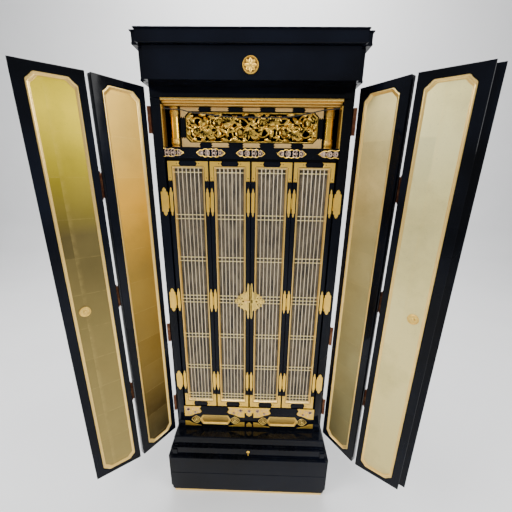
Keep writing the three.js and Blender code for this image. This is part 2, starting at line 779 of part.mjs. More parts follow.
function outerDoor(side) {
  const out = -side;
  const hand = side < 0 ? 'left' : 'right';
  const { pinX, pinY, edge, foldPin, width } = OUTER;
  const near = new THREE.Group();
  near.position.set(side * pinX, pinY, 0);
  near.rotation.z = side * THREE.MathUtils.degToRad(OUTER.openDeg[side]);
  cabinet.add(near);
  const nearSolid = join([outerLeaf(0, 0, edge, out), ...foldHinges(0, 0, out)]);
  place(`outer_door_${hand}_inboard`, nearSolid, lacquer, near);
  const far = new THREE.Group();
  far.position.set(out * foldPin.along, -foldPin.deep, 0);
  far.rotation.z = side * THREE.MathUtils.degToRad(OUTER.foldDeg[side]);
  near.add(far);
  const from = foldPin.along + OUTER.foldGap;
  place(`outer_door_${hand}_outboard`, outerLeaf(foldPin.along, foldPin.deep, from, out), lacquer, far);
  place(`ring_pull_${hand}`, ringPull(foldPin.along, foldPin.deep, from, out), gilt, far);
  if (side > 0) {
    place('closing_lip', closingLip(foldPin.along, foldPin.deep, from, out), lacquer, far);
  }
}

// ---- cord -----------------------------------------------------------------------------------
function cord() {
  const curve = new THREE.CatmullRomCurve3(CORD_ROUTE.map(([x, z]) => new THREE.Vector3(x, CORD.y, z)));
  const section = new THREE.Shape();
  for (let i = 0; i < CORD.sides; i++) {
    const angle = (2 * Math.PI * i) / CORD.sides;
    const point = [CORD.radius * Math.cos(angle), CORD.radius * Math.sin(angle)];
    if (i === 0) section.moveTo(...point);
    else section.lineTo(...point);
  }
  const along = { steps: CORD.steps, extrudePath: curve, bevelEnabled: false };
  return solid(new THREE.ExtrudeGeometry(section, along));
}

function cordHook(side) {
  const z = side < 0 ? CORD_ROUTE[0][1] : CORD_ROUTE[CORD_ROUTE.length - 1][1];
  const geometry = new THREE.CylinderGeometry(HOOK.radius, HOOK.radius, HOOK.long, CORD.sides);
  geometry.rotateZ(Math.PI / 2);
  geometry.translate(side * (POST.inner - REVEAL.thick - 2 * GAP - HOOK.long / 2), CORD.y, z);
  return solid(geometry);
}

// ---- assembly ---------------------------------------------------------------------------------
place('gilt_foot_band', footBand(), gilt);
place('plinth', plinth(), lacquer);
place('drawer_case', drawerCase(), lacquer);
place('drawer', drawer(), lacquer);
place('drawer_pull', drawerPull(), gilt);
place('base_slab', slab(), lacquer);
place('sill', sill(), lacquer);
place('lower_panel', lowerPanel(), lacquer);
place('back_panel', backPanel(), lacquer);
place('floor_board', shelf(PANEL_TOP - 14, PANEL_TOP - GAP, POST.back + GAP), lacquer);
place('ceiling_board', shelf(LINTEL.top - 14, LINTEL.top, POST.back + GAP), lacquer);
place('lintel', lintel(), lacquer);
place('frieze', frieze(), lacquer);
place('crown', crown(), lacquer);
place('frieze_medallion', medallion(), gilt);
place('gilt_cove', giltCove(), goldLeaf);
place('transom_frame', transomFrame(), lacquer);
place('transom_carving', transomCarving(), goldLeaf);
place('rail', rail(), lacquer);
for (const mount of RAIL_MOUNTS) place(mount.name, railMount(mount), gilt);
for (const side of SIDES) {
  const hand = side < 0 ? 'left' : 'right';
  place(`post_${hand}`, post(side), lacquer);
  place(`side_panel_${hand}`, sidePanel(side), lacquer);
  place(`gilt_reveal_${hand}`, giltReveal(side), goldLeaf);
  place(`transom_column_${hand}`, column(side), goldLeaf);
  OUTER.brackets.forEach((level, i) => {
    place(`door_bracket_${hand}_${i + 1}`, bracket(side, level), bronze);
  });
  place(`cord_hook_${hand}`, cordHook(side), gilt);
  outerDoor(side);
}
for (let k = 0; k < 4; k++) {
  place(`inner_door_${k + 1}`, innerLeaf(k), lacquer);
  place(`gauze_${k + 1}`, gauzeSheet(k), gauze);
}
place('latch_plate_left', latchPlate(-1).add(staple(-1, LATCH.slot.back + 0.5)), gilt);
place('latch_plate_right', latchPlate(1), gilt);
place('latch_staple_right', staple(1, LATCH.slot.back - GAP), gilt);
place('latch_bolt', latchBolt(), gilt);
place('cord', cord(), cordFibre);
cabinet.position.y = DOOR_PLANE_Y;

export default cabinet;
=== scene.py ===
"""Dresses the household altar cabinet: black lacquer, gold leaf, gilt fittings, lattice and carving.

Lengths are metres, +Z is up and the front faces -Y. Sizes are fields of the classes below, and
places come from the frame, so a piece sits where the solid that it stands for sits.
"""
import json
import logging
import math
from collections.abc import Callable, Sequence
from dataclasses import dataclass, field
from enum import Enum

import bpy
from mathutils import Matrix, Vector


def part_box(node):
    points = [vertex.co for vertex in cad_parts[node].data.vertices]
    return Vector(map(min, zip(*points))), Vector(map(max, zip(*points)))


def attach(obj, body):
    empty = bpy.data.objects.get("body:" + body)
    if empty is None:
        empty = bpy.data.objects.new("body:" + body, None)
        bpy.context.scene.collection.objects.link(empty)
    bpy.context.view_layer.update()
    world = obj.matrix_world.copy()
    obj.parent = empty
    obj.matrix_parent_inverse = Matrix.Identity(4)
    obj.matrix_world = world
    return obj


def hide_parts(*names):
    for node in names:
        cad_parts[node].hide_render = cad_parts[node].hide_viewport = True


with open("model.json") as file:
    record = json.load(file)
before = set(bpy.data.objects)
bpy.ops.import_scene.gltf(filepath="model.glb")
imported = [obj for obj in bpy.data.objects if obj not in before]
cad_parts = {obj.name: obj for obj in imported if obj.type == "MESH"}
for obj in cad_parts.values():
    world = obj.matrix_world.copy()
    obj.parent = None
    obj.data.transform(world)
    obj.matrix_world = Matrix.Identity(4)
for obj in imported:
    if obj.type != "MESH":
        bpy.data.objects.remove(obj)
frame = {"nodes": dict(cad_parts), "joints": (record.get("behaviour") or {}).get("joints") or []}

log = logging.getLogger("altar_cabinet")
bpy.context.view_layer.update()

Point = tuple[float, float]
Colour = tuple[float, float, float]
Piece = bpy.types.Object
Socket = bpy.types.NodeSocket
Material = bpy.types.Material


class Side(Enum):
    """The left or the right of the cabinet, as the viewer sees it."""

    LEFT = -1
    RIGHT = 1


class Slot(Enum):
    """The record's material slots, passed along with the pieces made here."""

    LACQUER = "black_lacquer"
    LEAF = "gold_leaf"
    GILT = "gilt_metal"
    BRONZE = "bronze_hinge"
    CORD = "cord_fibre"


INNER_LEAVES = 4
HINGE_LEVELS = (0.524, 0.8715, 1.2175)
LATCH_LEVEL = HINGE_LEVELS[1]
BOTH_WAYS = (-1, 1)


# ---- small sums ----
def clamp(value: float, low: float, high: float) -> float:
    """A value held between two limits."""
    return min(max(value, low), high)


def around(count: int) -> list[Point]:
    """Points of a unit circle, evenly spaced."""
    return [(math.cos(a), math.sin(a)) for a in (math.tau * i / count for i in range(count))]


# ---- modelling ----
def link(item: Piece) -> None:
    """Puts a new object into the scene."""
    bpy.context.scene.collection.objects.link(item)


def start_afresh() -> None:
    """Leaves edit mode and deselects everything."""
    if bpy.context.mode != "OBJECT":
        bpy.ops.object.mode_set(mode="OBJECT")
    bpy.ops.object.select_all(action="DESELECT")


def take(piece: Piece) -> None:
    """Makes a piece the only one selected, and the active one."""
    start_afresh()
    piece.select_set(True)
    bpy.context.view_layer.objects.active = piece


def apply_modifier(piece: Piece, kind: str, **settings: float | int | str | bool | Piece) -> None:
    """Adds a modifier with its settings and applies it.

    Args:
        piece: The piece that the modifier changes.
        kind: The modifier's type.
        settings: Its properties by name.
    """
    take(piece)
    modifier = piece.modifiers.new(kind.lower(), kind)
    for key, value in settings.items():
        setattr(modifier, key, value)
    bpy.ops.object.modifier_apply(modifier=modifier.name)


def ease(piece: Piece, width: float, segments: int = 2) -> None:
    """Rounds a piece's sharp edges by a small bevel."""
    apply_modifier(piece, "BEVEL", width=width, segments=segments, limit_method="ANGLE",
                   angle_limit=math.radians(30))


def block(name: str, low: Sequence[float], high: Sequence[float], bevel: float = 0.0) -> Piece:
    """A box between two corners, its edges eased.

    Args:
        name: The piece's name.
        low: One corner.
        high: The corner across from it.
        bevel: Width of the eased edges.

    Returns:
        The new piece, at the origin with its place in its mesh.
    """
    start_afresh()
    centre = [(a + b) / 2 for a, b in zip(low, high)]
    bpy.ops.mesh.primitive_cube_add(size=1, location=centre)
    piece = bpy.context.active_object
    piece.name = name
    piece.scale = [abs(b - a) for a, b in zip(low, high)]
    bpy.ops.object.transform_apply(location=True, rotation=True, scale=True)
    if bevel:
        ease(piece, bevel)
    return piece


def plate(name: str, outline: Sequence[Point], front: float, depth: float, bevel: float = 0.0) -> Piece:
    """A flat plate with an outline in front view, extruded backwards.

    Args:
        name: The piece's name.
        outline: The outline's (x, z) points in order.
        front: The y of its front face.
        depth: How far it goes back from there.
        bevel: Width of the eased edges.

    Returns:
        The new piece.
    """
    start_afresh()
    bpy.ops.mesh.primitive_circle_add(vertices=len(outline), radius=1, fill_type="NGON")
    piece = bpy.context.active_object
    piece.name = name
    for vertex, (x, z) in zip(piece.data.vertices, outline):
        vertex.co = (x, front, z)
    bpy.ops.object.mode_set(mode="EDIT")
    bpy.ops.mesh.select_all(action="SELECT")
    bpy.ops.mesh.extrude_region_move(TRANSFORM_OT_translate={"value": (0, depth, 0)})
    bpy.ops.mesh.select_all(action="SELECT")
    bpy.ops.mesh.normals_make_consistent(inside=False)
    bpy.ops.object.mode_set(mode="OBJECT")
    if bevel:
        ease(piece, bevel, 1)
    return piece


def wrap(name: str, loops: Sequence[Sequence[Sequence[float]]], closed: bool = True,
         endless: bool = False, capped: bool = False) -> Piece:
    """A skin laid over loops of points, each loop joined to the next.

    Args:
        name: The piece's name.
        loops: The loops, all with the same number of points.
        closed: Whether each loop closes on itself.
        endless: Whether the last loop joins the first, as round a ring.
        capped: Whether the open ends are filled.

    Returns:
        The new piece.
    """
    rows = [list(loop) for loop in loops]
    if endless:
        rows.append(rows[0])
    if closed:
        rows = [row + row[:1] for row in rows]
    start_afresh()
    bpy.ops.mesh.primitive_grid_add(x_subdivisions=len(rows[0]) - 1, y_subdivisions=len(rows) - 1, size=1)
    piece = bpy.context.active_object
    piece.name = name
    piece.data.vertices.foreach_set("co", [value for row in rows for point in row for value in point])
    bpy.ops.object.mode_set(mode="EDIT")
    bpy.ops.mesh.select_all(action="SELECT")
    bpy.ops.mesh.remove_doubles(threshold=1e-6)
    if capped:
        bpy.ops.mesh.fill_holes(sides=0)
    bpy.ops.mesh.select_all(action="SELECT")
    bpy.ops.mesh.normals_make_consistent(inside=False)
    bpy.ops.object.mode_set(mode="OBJECT")
    return piece


def turned(name: str, profile: Sequence[Point], centre: Sequence[float], sides: int = 24,
           upright: bool = True) -> Piece:
    """A piece turned about an axis.

    Args:
        name: The piece's name.
        profile: Its (radius, height) points.
        centre: The point on the axis at height nought.
        sides: How many steps round.
        upright: Whether the axis is +Z; if not, it points to the front.

    Returns:
        The new piece, its ends closed.
    """
    cx, cy, cz = centre
    loops = []
    for radius, height in profile:
        ring = [(radius * c, radius * s) for c, s in around(sides)]
        if upright:
            loops.append([(cx + u, cy + v, cz + height) for u, v in ring])
        else:
            loops.append([(cx + u, cy - height, cz + v) for u, v in ring])
    return wrap(name, loops, capped=True)


def stud(name: str, profile: Sequence[Point], centre: Sequence[float], sides: int) -> Piece:
    """A turned piece whose axis points to the front."""
    return turned(name, profile, centre, sides, upright=False)


def barrel(name: str, centre: Sequence[float], radius: float, half: float, sides: int = 12) -> Piece:
    """An upright hinge barrel, half its height above its centre and half below."""
    return turned(name, [(0, -half), (radius, -half), (radius, half), (0, half)], centre, sides)


def round_curve(name: str, radius: float, resolution: int) -> bpy.types.Curve:
    """An empty curve with a round section and closed ends."""
    curve = bpy.data.curves.new(name, "CURVE")
    curve.dimensions = "3D"
    curve.bevel_depth = radius
    curve.bevel_resolution = resolution
    curve.use_fill_caps = True
    return curve


def rod(name: str, points: Sequence[Sequence[float]], radius: float,
        taper: Callable[[float], float] = lambda t: 1.0, sides: int = 2, closed: bool = False) -> Piece:
    """A round rod along points, thick or thin by a taper.

    Args:
        name: The piece's name.
        points: The points that it follows.
        radius: Its radius where the taper is 1.
        taper: The share of the radius at t from 0 to 1 along it.
        sides: The curve's bevel resolution.
        closed: Whether it joins up with itself.

    Returns:
        The new piece, as a mesh.
    """
    curve = round_curve(name, radius, sides)
    spline = curve.splines.new("POLY")
    spline.points.add(len(points) - 1)
    spline.use_cyclic_u = closed
    for i, (knot, point) in enumerate(zip(spline.points, points)):
        knot.co = (*point, 1)
        knot.radius = taper(i / max(len(points) - 1, 1))
    piece = bpy.data.objects.new(name, curve)
    link(piece)
    take(piece)
    bpy.ops.object.convert(target="MESH")
    return bpy.context.active_object


def copy_of(piece: Piece, name: str, move: Matrix = Matrix.Identity(4)) -> Piece:
    """A copy of a piece with a mesh of its own, moved by a matrix."""
    twin = piece.copy()
    twin.data = piece.data.copy()
    twin.name = name
    link(twin)
    twin.data.transform(move)
    if move.determinant() < 0:
        twin.data.flip_normals()
    return twin


def joined(name: str, pieces: Sequence[Piece]) -> Piece:
    """Several pieces made one object."""
    start_afresh()
    for piece in pieces:
        piece.select_set(True)
    bpy.context.view_layer.objects.active = pieces[0]
    if len(pieces) > 1:
        bpy.ops.object.join()
    pieces[0].name = name
    return pieces[0]


def hold_depth(piece: Piece, front: float, back: float = math.inf) -> None:
    """Draws a piece's points in to lie between two depths."""
    for vertex in piece.data.vertices:
        vertex.co.y = clamp(vertex.co.y, front, back)


def cut(piece: Piece, cutter: Piece) -> None:
    """Takes one piece out of another and discards it."""
    apply_modifier(piece, "BOOLEAN", operation="DIFFERENCE", solver="EXACT", object=cutter)
    discard(cutter)


def discard(*pieces: Piece) -> None:
    """Removes patterns that have been copied and aren't needed themselves."""
    for piece in pieces:
        bpy.data.objects.remove(piece)


def deliver(piece: Piece, body: str, slot: Slot, finish: Material, *stands_for: str,
            smooth: float = 35.0) -> Piece:
    """Gives a piece its finish and its body.

    Args:
        piece: The finished piece.
        body: The body that it rides on.
        slot: The record's slot; not used.
        finish: Its material.
        stands_for: The nodes that it replaces.
        smooth: The angle in degrees below which edges are shaded smooth.

    Returns:
        The same piece.
    """
    piece.data.materials.clear()
    piece.data.materials.append(finish)
    take(piece)
    bpy.ops.object.shade_smooth_by_angle(angle=math.radians(smooth))
    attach(piece, body)
    if stands_for:
        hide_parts(*stands_for)
    log.info("%s on %s, %d faces", piece.name, body, len(piece.data.polygons))
    return piece


def paint(finish: Material, *nodes: str) -> None:
    """Gives carried-over nodes a finish."""
    for name in nodes:
        node = frame["nodes"][name]
        node.data.materials.clear()
        node.data.materials.append(finish)


# ---- outlines ----
def moved(points: Sequence[Point], x: float, z: float) -> list[Point]:
    """An outline moved in front view."""
    return [(a + x, b + z) for a, b in points]


CUSP = ((0.0, 1.0), (0.03, 0.86), (0.12, 0.74), (0.30, 0.60), (0.60, 0.30), (0.74, 0.12), (0.86, 0.03),
        (1.0, 0.0))


def cornered(low: Point, high: Point, corner: Sequence[Point]) -> list[Point]:
    """A rectangle whose four corners share one shape.

    Args:
        low: The lower corner (x, z).
        high: The upper corner.
        corner: Steps in from a corner, from its upright edge to its level one.

    Returns:
        The outline's points.
    """
    (x0, z0), (x1, z1) = low, high
    return [
        *[(x0 + a, z0 + b) for a, b in corner],
        *[(x1 - a, z0 + b) for a, b in reversed(corner)],
        *[(x1 - a, z1 - b) for a, b in corner],
        *[(x0 + a, z1 - b) for a, b in reversed(corner)],
    ]


def cusped(low: Point, high: Point, cusp: float, inset: float = 0.0) -> list[Point]:
    """A rectangle whose corners step in at both ends of a slanted cut.

    Args:
        low: The lower corner (x, z).
        high: The upper corner.
        cusp: How far each corner is cut.
        inset: How far the whole outline is drawn in.

    Returns:
        Its points, eight to a corner.
    """
    corner = [(a * cusp, b * cusp) for a, b in CUSP]
    return cornered((low[0] + inset, low[1] + inset), (high[0] - inset, high[1] - inset), corner)


def squared(low: Point, high: Point, reach: float, eased: float = 0.0006) -> list[Point]:
    """A plain rectangle with as many points as a cusped one has.

    Args:
        low: The lower corner (x, z).
        high: The upper corner.
        reach: How far from each corner its points begin.
        eased: How far the corner itself is cut.

    Returns:
        Its points, eight to a corner.
    """
    count = len(CUSP) // 2
    upright_part = [(0.0, reach * (1 - k / count)) for k in range(count - 1)]
    level_part = [(reach * (k + 1) / count, 0.0) for k in range(1, count)]
    return cornered(low, high, [*upright_part, (0.0, eased), (eased, 0.0), *level_part])


def oblong(low: Point, high: Point) -> list[Point]:
    """A rectangle's four corners."""
    return [low, (high[0], low[1]), high, (low[0], high[1])]


def at_depth(outline: Sequence[Point], y: float) -> list[tuple[float, float, float]]:
    """An outline in front view, set at a depth."""
    return [(x, y, z) for x, z in outline]


def lobed(radius: float, petals: int, swell: float, steps: int = 6) -> list[Point]:
    """A round outline with rounded petals."""
    count = petals * steps
    points = []
    for i in range(count):
        angle = math.tau * i / count
        r = radius * (1 - swell + swell * abs(math.sin(angle * petals / 2)) ** 0.6)
        points.append((r * math.cos(angle), r * math.sin(angle)))
    return points


def spiral(centre: Point, start: float, turns: float, outer: float, inner: float,
           y: float, steps: int = 18) -> list[tuple[float, float, float]]:
    """Points of a scroll that winds inwards in front view."""
    points = []
    for i in range(steps + 1):
        t = i / steps
        angle = start + turns * math.tau * t
        r = outer + (inner - outer) * t
        points.append((centre[0] + r * math.cos(angle), y, centre[1] + r * math.sin(angle)))
    return points


# ---- materials ----
class Graph:
    """A node tree with a short way to add nodes and link them."""

    def __init__(self, tree: bpy.types.NodeTree) -> None:
        """Keeps the tree."""
        self.tree = tree

    def add(self, kind: str, inputs: dict[str | int, object] | None = None,
            **settings: object) -> bpy.types.Node:
        """Adds a node.

        Args:
            kind: The node's type without its ShaderNode prefix.
            inputs: Values or sockets for its inputs, by name or number.
            settings: Its properties.

        Returns:
            The node.
        """
        node = self.tree.nodes.new("ShaderNode" + kind)
        for key, value in settings.items():
            setattr(node, key, value)
        for key, value in (inputs or {}).items():
            self.feed(node.inputs[key], value)
        return node

    def feed(self, socket: Socket, value: object) -> None:
        """Links a socket's input to an output, or sets its value."""
        if isinstance(value, bpy.types.NodeSocket):
            self.tree.links.new(value, socket)
        elif socket.type == "RGBA":
            socket.default_value = (*value, 1.0)
        else:
            socket.default_value = value

    def noise(self, vector: Socket, scale: float, detail: float = 3.0, rough: float = 0.55) -> Socket:
        """A noise value at a scale."""
        inputs = {"Vector": vector, "Scale": scale, "Detail": detail, "Roughness": rough}
        return self.add("TexNoise", inputs).outputs["Fac"]

    def between(self, value: Socket, low: float, high: float, out_low: float = 0.0,
                out_high: float = 1.0) -> Socket:
        """A value moved from one range to another, and held inside it."""
        inputs = {"Value": value, "From Min": low, "From Max": high, "To Min": out_low, "To Max": out_high}
        return self.add("MapRange", inputs).outputs["Result"]

    def mix(self, factor: object, a: object, b: object) -> Socket:
        """Two colours mixed by a factor."""
        node = self.add("Mix", {0: factor, 6: a, 7: b}, data_type="RGBA")
        return node.outputs[2]

    def sum(self, how: str, a: object, b: object) -> Socket:
        """One sum of two values, such as MAXIMUM or SUBTRACT."""
        return self.add("Math", {0: a, 1: b}, operation=how).outputs[0]

    def times(self, a: object, b: object) -> Socket:
        """Two values multiplied."""
        return self.sum("MULTIPLY", a, b)

    def plus(self, a: object, b: object) -> Socket:
        """Two values added."""
        return self.sum("ADD", a, b)


def group(name: str, inputs: dict[str, str], outputs: dict[str, str],
          build: Callable[[Graph, bpy.types.Node], dict[str, Socket]]) -> bpy.types.NodeTree:
    """A shader node group with named sockets, built once.

    Args:
        name: The group's name.
        inputs: Input names and their socket types.
        outputs: Output names and their socket types.
        build: Makes the inside and returns the output sockets by name.

    Returns:
        The group.
    """
    tree = bpy.data.node_groups.new(name, "ShaderNodeTree")
    for key, kind in inputs.items():
        tree.interface.new_socket(key, in_out="INPUT", socket_type="NodeSocket" + kind)
    for key, kind in outputs.items():
        tree.interface.new_socket(key, in_out="OUTPUT", socket_type="NodeSocket" + kind)
    source = tree.nodes.new("NodeGroupInput")
    drain = tree.nodes.new("NodeGroupOutput")
    for key, socket in build(Graph(tree), source).items():
        tree.links.new(socket, drain.inputs[key])
    return tree


def build_handling(graph: Graph, source: bpy.types.Node) -> dict[str, Socket]:
    """Smudges, fine scratches and settled dust on a polished surface."""
    vector = source.outputs["Vector"]
    smudge = graph.between(graph.noise(vector, 9.0, 4.0), 0.42, 0.72)
    stretched = graph.add("Mapping", {"Vector": vector, "Scale": (260.0, 260.0, 9.0)}).outputs[0]
    hairline = graph.between(graph.noise(stretched, 1.0, 2.0), 0.66, 0.74)
    normal = graph.add("NewGeometry").outputs["Normal"]
    upward = graph.add("SeparateXYZ", {0: normal}).outputs["Z"]
    settled = graph.times(graph.between(upward, 0.6, 1.0),
                          graph.between(graph.noise(vector, 60.0, 5.0, 0.7), 0.45, 0.75))
    marks = graph.plus(graph.times(smudge, 0.5), graph.times(hairline, 0.3))
    return {"Marks": graph.times(marks, source.outputs["Amount"]),
            "Dust": graph.times(settled, source.outputs["Dust"])}


def build_leaf_squares(graph: Graph, source: bpy.types.Node) -> dict[str, Socket]:
    """Squares of gold leaf, laid edge over edge, each a little different."""
    vector = source.outputs["Vector"]
    scaled = graph.add("VectorMath", {0: vector, 3: source.outputs["Per Metre"]},
                       operation="SCALE").outputs[0]
    cell = graph.add("VectorMath", {0: scaled}, operation="FLOOR").outputs[0]
    tone = graph.add("TexWhiteNoise", {"Vector": cell}).outputs["Value"]
    inside = graph.add("VectorMath", {0: scaled}, operation="FRACTION").outputs[0]
    split = graph.add("SeparateXYZ", {0: inside})
    across, upward = [graph.between(split.outputs[axis], 0.0, 0.035, 1.0, 0.0) for axis in ("X", "Z")]
    seam = graph.sum("MAXIMUM", across, upward)
    ragged = graph.times(seam, graph.between(graph.noise(vector, 55.0), 0.35, 0.6))
    cloud = graph.noise(vector, 7.0, 5.0, 0.6)
    grain = graph.noise(vector, 420.0, 2.0)
    varied = graph.plus(graph.times(tone, 0.3), graph.times(cloud, 0.7))
    return {"Tone": varied, "Seam": ragged, "Grain": grain}


def build_tarnish(graph: Graph, source: bpy.types.Node) -> dict[str, Socket]:
    """Darkening in blotches, with a finer speckle over it."""
    vector = source.outputs["Vector"]
    blotch = graph.between(graph.noise(vector, source.outputs["Scale"], 5.0, 0.62), 0.45, 0.72)
    speck = graph.between(graph.noise(vector, 300.0, 2.0), 0.6, 0.72)
    return {"Mask": graph.plus(graph.times(blotch, 0.8), graph.times(speck, 0.35))}


def build_chasing(graph: Graph, source: bpy.types.Node) -> dict[str, Socket]:
    """Chased metal: a ground of punched dots with winding lines through it."""
    vector = source.outputs["Vector"]
    dots = graph.add("TexVoronoi", {"Vector": vector, "Scale": source.outputs["Dots"]}, feature="F1")
    dot = graph.between(dots.outputs["Distance"], 0.15, 0.5)
    bent = graph.add("TexNoise", {"Vector": vector, "Scale": source.outputs["Lines"], "Detail": 1.0})
    winding = graph.sum("ABSOLUTE", graph.sum("SUBTRACT", bent.outputs["Fac"], 0.5), 0.0)
    line = graph.between(winding, 0.012, 0.045)
    return {"Height": graph.sum("MINIMUM", dot, line), "Line": line}


GROUPS = {
    "handling": group("handling", {"Vector": "Vector", "Amount": "Float", "Dust": "Float"},
                      {"Marks": "Float", "Dust": "Float"}, build_handling),
    "leaf squares": group("leaf squares", {"Vector": "Vector", "Per Metre": "Float"},
                          {"Tone": "Float", "Seam": "Float", "Grain": "Float"}, build_leaf_squares),
    "tarnish": group("tarnish", {"Vector": "Vector", "Scale": "Float"}, {"Mask": "Float"}, build_tarnish),
    "chasing": group("chasing", {"Vector": "Vector", "Dots": "Float", "Lines": "Float"},
                     {"Height": "Float", "Line": "Float"}, build_chasing),
}


class Bench:
    """A material under way: its graph, its shader and its Object coordinates."""

    def __init__(self, name: str, turn: float = 0.0) -> None:
        """Starts a material.

        Args:
            name: The material's name.
            turn: Degrees about +Z by which its pattern is turned.
        """
        self.material = bpy.data.materials.new(name)
        self.material.use_nodes = True
        tree = self.material.node_tree
        tree.nodes.clear()
        self.graph = Graph(tree)
        self.shader = tree.nodes.new("ShaderNodeBsdfPrincipled")
        output = tree.nodes.new("ShaderNodeOutputMaterial")
        tree.links.new(self.shader.outputs[0], output.inputs[0])
        place = tree.nodes.new("ShaderNodeTexCoord").outputs["Object"]
        turned_by = {"Vector": place, "Rotation": (0.0, 0.0, math.radians(turn))}
        self.vector = self.graph.add("Mapping", turned_by).outputs[0]

    def effect(self, name: str, **inputs: float) -> bpy.types.Node:
        """Places a shared effect with its values."""
        node = self.graph.add("Group")
        node.node_tree = GROUPS[name]
        self.graph.tree.links.new(self.vector, node.inputs["Vector"])
        for key, value in inputs.items():
            node.inputs[key.replace("_", " ")].default_value = value
        return node

    def set(self, **inputs: object) -> None:
        """Sets or links the shader's sockets, named with underscores for spaces."""
        for key, value in inputs.items():
            self.graph.feed(self.shader.inputs[key.replace("_", " ")], value)

    def bump(self, height: Socket, strength: float, distance: float) -> None:
        """Raises the surface by a height."""
        inputs = {"Height": height, "Strength": strength, "Distance": distance}
        self.set(Normal=self.graph.add("Bump", inputs).outputs[0])


@dataclass(frozen=True)
class Lacquer:
    """Deep gloss black lacquer, a little blue, with smudges and dust."""

    name: str = "black lacquer"
    deep: Colour = (0.0012, 0.0014, 0.0022)
    bloom: Colour = (0.0045, 0.006, 0.0115)
    dusty: Colour = (0.06, 0.06, 0.055)
    gloss: float = 0.05
    shine: float = 0.13

    def make(self) -> Material:
        """Builds the material."""
        bench = Bench(self.name)
        graph = bench.graph
        handling = bench.effect("handling", Amount=0.55, Dust=0.12)
        depth = graph.between(graph.noise(bench.vector, 3.0, 3.0), 0.35, 0.7)
        body = graph.mix(depth, self.deep, self.bloom)
        bench.set(Base_Color=graph.mix(handling.outputs["Dust"], body, self.dusty),
                  Roughness=graph.between(handling.outputs["Marks"], 0.0, 0.6, self.gloss, 0.17),
                  IOR=1.45, Specular_IOR_Level=self.shine)
        bench.bump(graph.noise(bench.vector, 34.0, 2.0), 0.035, 0.002)
        return bench.material


@dataclass(frozen=True)
class LeafPanel:
    """Aged gold leaf on a flat panel, with painted light and shade that change from foot to head and a
    painted highlight band across it.
    """

    name: str
    # foot and head are the colours at the two ends of a ramp of painted shade and light; painted_highlight
    # colours a painted highlight band.
    foot: Colour
    head: Colour
    painted_highlight: Colour = (0.95, 0.62, 0.10)
    highlight_at: float = 1.26
    highlight_reach: float = 0.16
    highlight_share: float = 0.75
    turn: float = 0.0
    low: float = 0.3
    high: float = 1.55
    tarnish: Colour = (0.20, 0.14, 0.045)
    stain: float = 0.35
    rough: float = 0.33
    overlap: Colour = (1.0, 0.74, 0.24)
    fresh: Colour = (1.0, 0.76, 0.24)
    wander: float = 0.16

    def make(self) -> Material:
        """Builds the material."""
        bench = Bench(self.name, self.turn)
        graph = bench.graph
        squares = bench.effect("leaf squares", Per_Metre=9.3)
        blotches = bench.effect("tarnish", Scale=5.5)
        height = graph.add("SeparateXYZ", {0: bench.vector}).outputs["Z"]
        # The ramp from foot to head is painted shade and painted reflection on the gilding.
        rise = graph.between(height, self.low, self.high)
        plain = graph.mix(rise, self.foot, self.head)
        # A wandering band of painted highlight round highlight_at.
        strayed = graph.times(graph.noise(bench.vector, 2.2, 2.0), self.wander)
        centre = self.highlight_at + self.wander / 2
        away = graph.sum("ABSOLUTE", graph.sum("SUBTRACT", graph.plus(height, strayed), centre), 0.0)
        painted_highlight = graph.between(away, 0.0, self.highlight_reach, self.highlight_share, 0.0)
        ground = graph.mix(painted_highlight, plain, self.painted_highlight)
        lighter = graph.mix(0.09, ground, self.fresh)
        toned = graph.mix(graph.between(squares.outputs["Tone"], 0.3, 0.75), ground, lighter)
        aged = graph.mix(graph.times(blotches.outputs["Mask"], self.stain), toned, self.tarnish)
        seamed = graph.mix(graph.times(squares.outputs["Seam"], 0.12), aged, self.overlap)
        bench.set(Base_Color=seamed, Metallic=0.92,
                  Roughness=graph.between(squares.outputs["Tone"], 0.2, 0.8, self.rough, self.rough + 0.14))
        bench.bump(graph.plus(graph.times(squares.outputs["Grain"], 0.5),
                              squares.outputs["Seam"]), 0.12, 0.0006)
        return bench.material


@dataclass(frozen=True)
class CarvedLeaf:
    """Gold leaf over carving, browned by painted shade where it lies deep."""

    name: str
    crest: Colour = (0.86, 0.60, 0.20)
    shaded_hollow: Colour = (0.10, 0.055, 0.012)
    front: float = 0.0
    depth: float = 0.012
    rough: float = 0.26

    def make(self) -> Material:
        """Builds the material."""
        bench = Bench(self.name)
        graph = bench.graph
        y = graph.add("SeparateXYZ", {0: bench.vector}).outputs["Y"]
        # Painted shade: the deeper a point lies behind the front, the browner; real tarnish blotches are
        # added to it.
        deep = graph.between(y, self.front, self.front + self.depth)
        blotches = bench.effect("tarnish", Scale=48.0)
        shade_and_tarnish = graph.plus(graph.times(deep, 0.75),
                          graph.times(blotches.outputs["Mask"], 0.35))
        bench.set(Base_Color=graph.mix(shade_and_tarnish, self.crest, self.shaded_hollow), Metallic=0.94,
                  Roughness=graph.between(shade_and_tarnish, 0.0, 1.0, self.rough, 0.5))
        bench.bump(graph.noise(bench.vector, 330.0, 3.0), 0.25, 0.0008)
        return bench.material


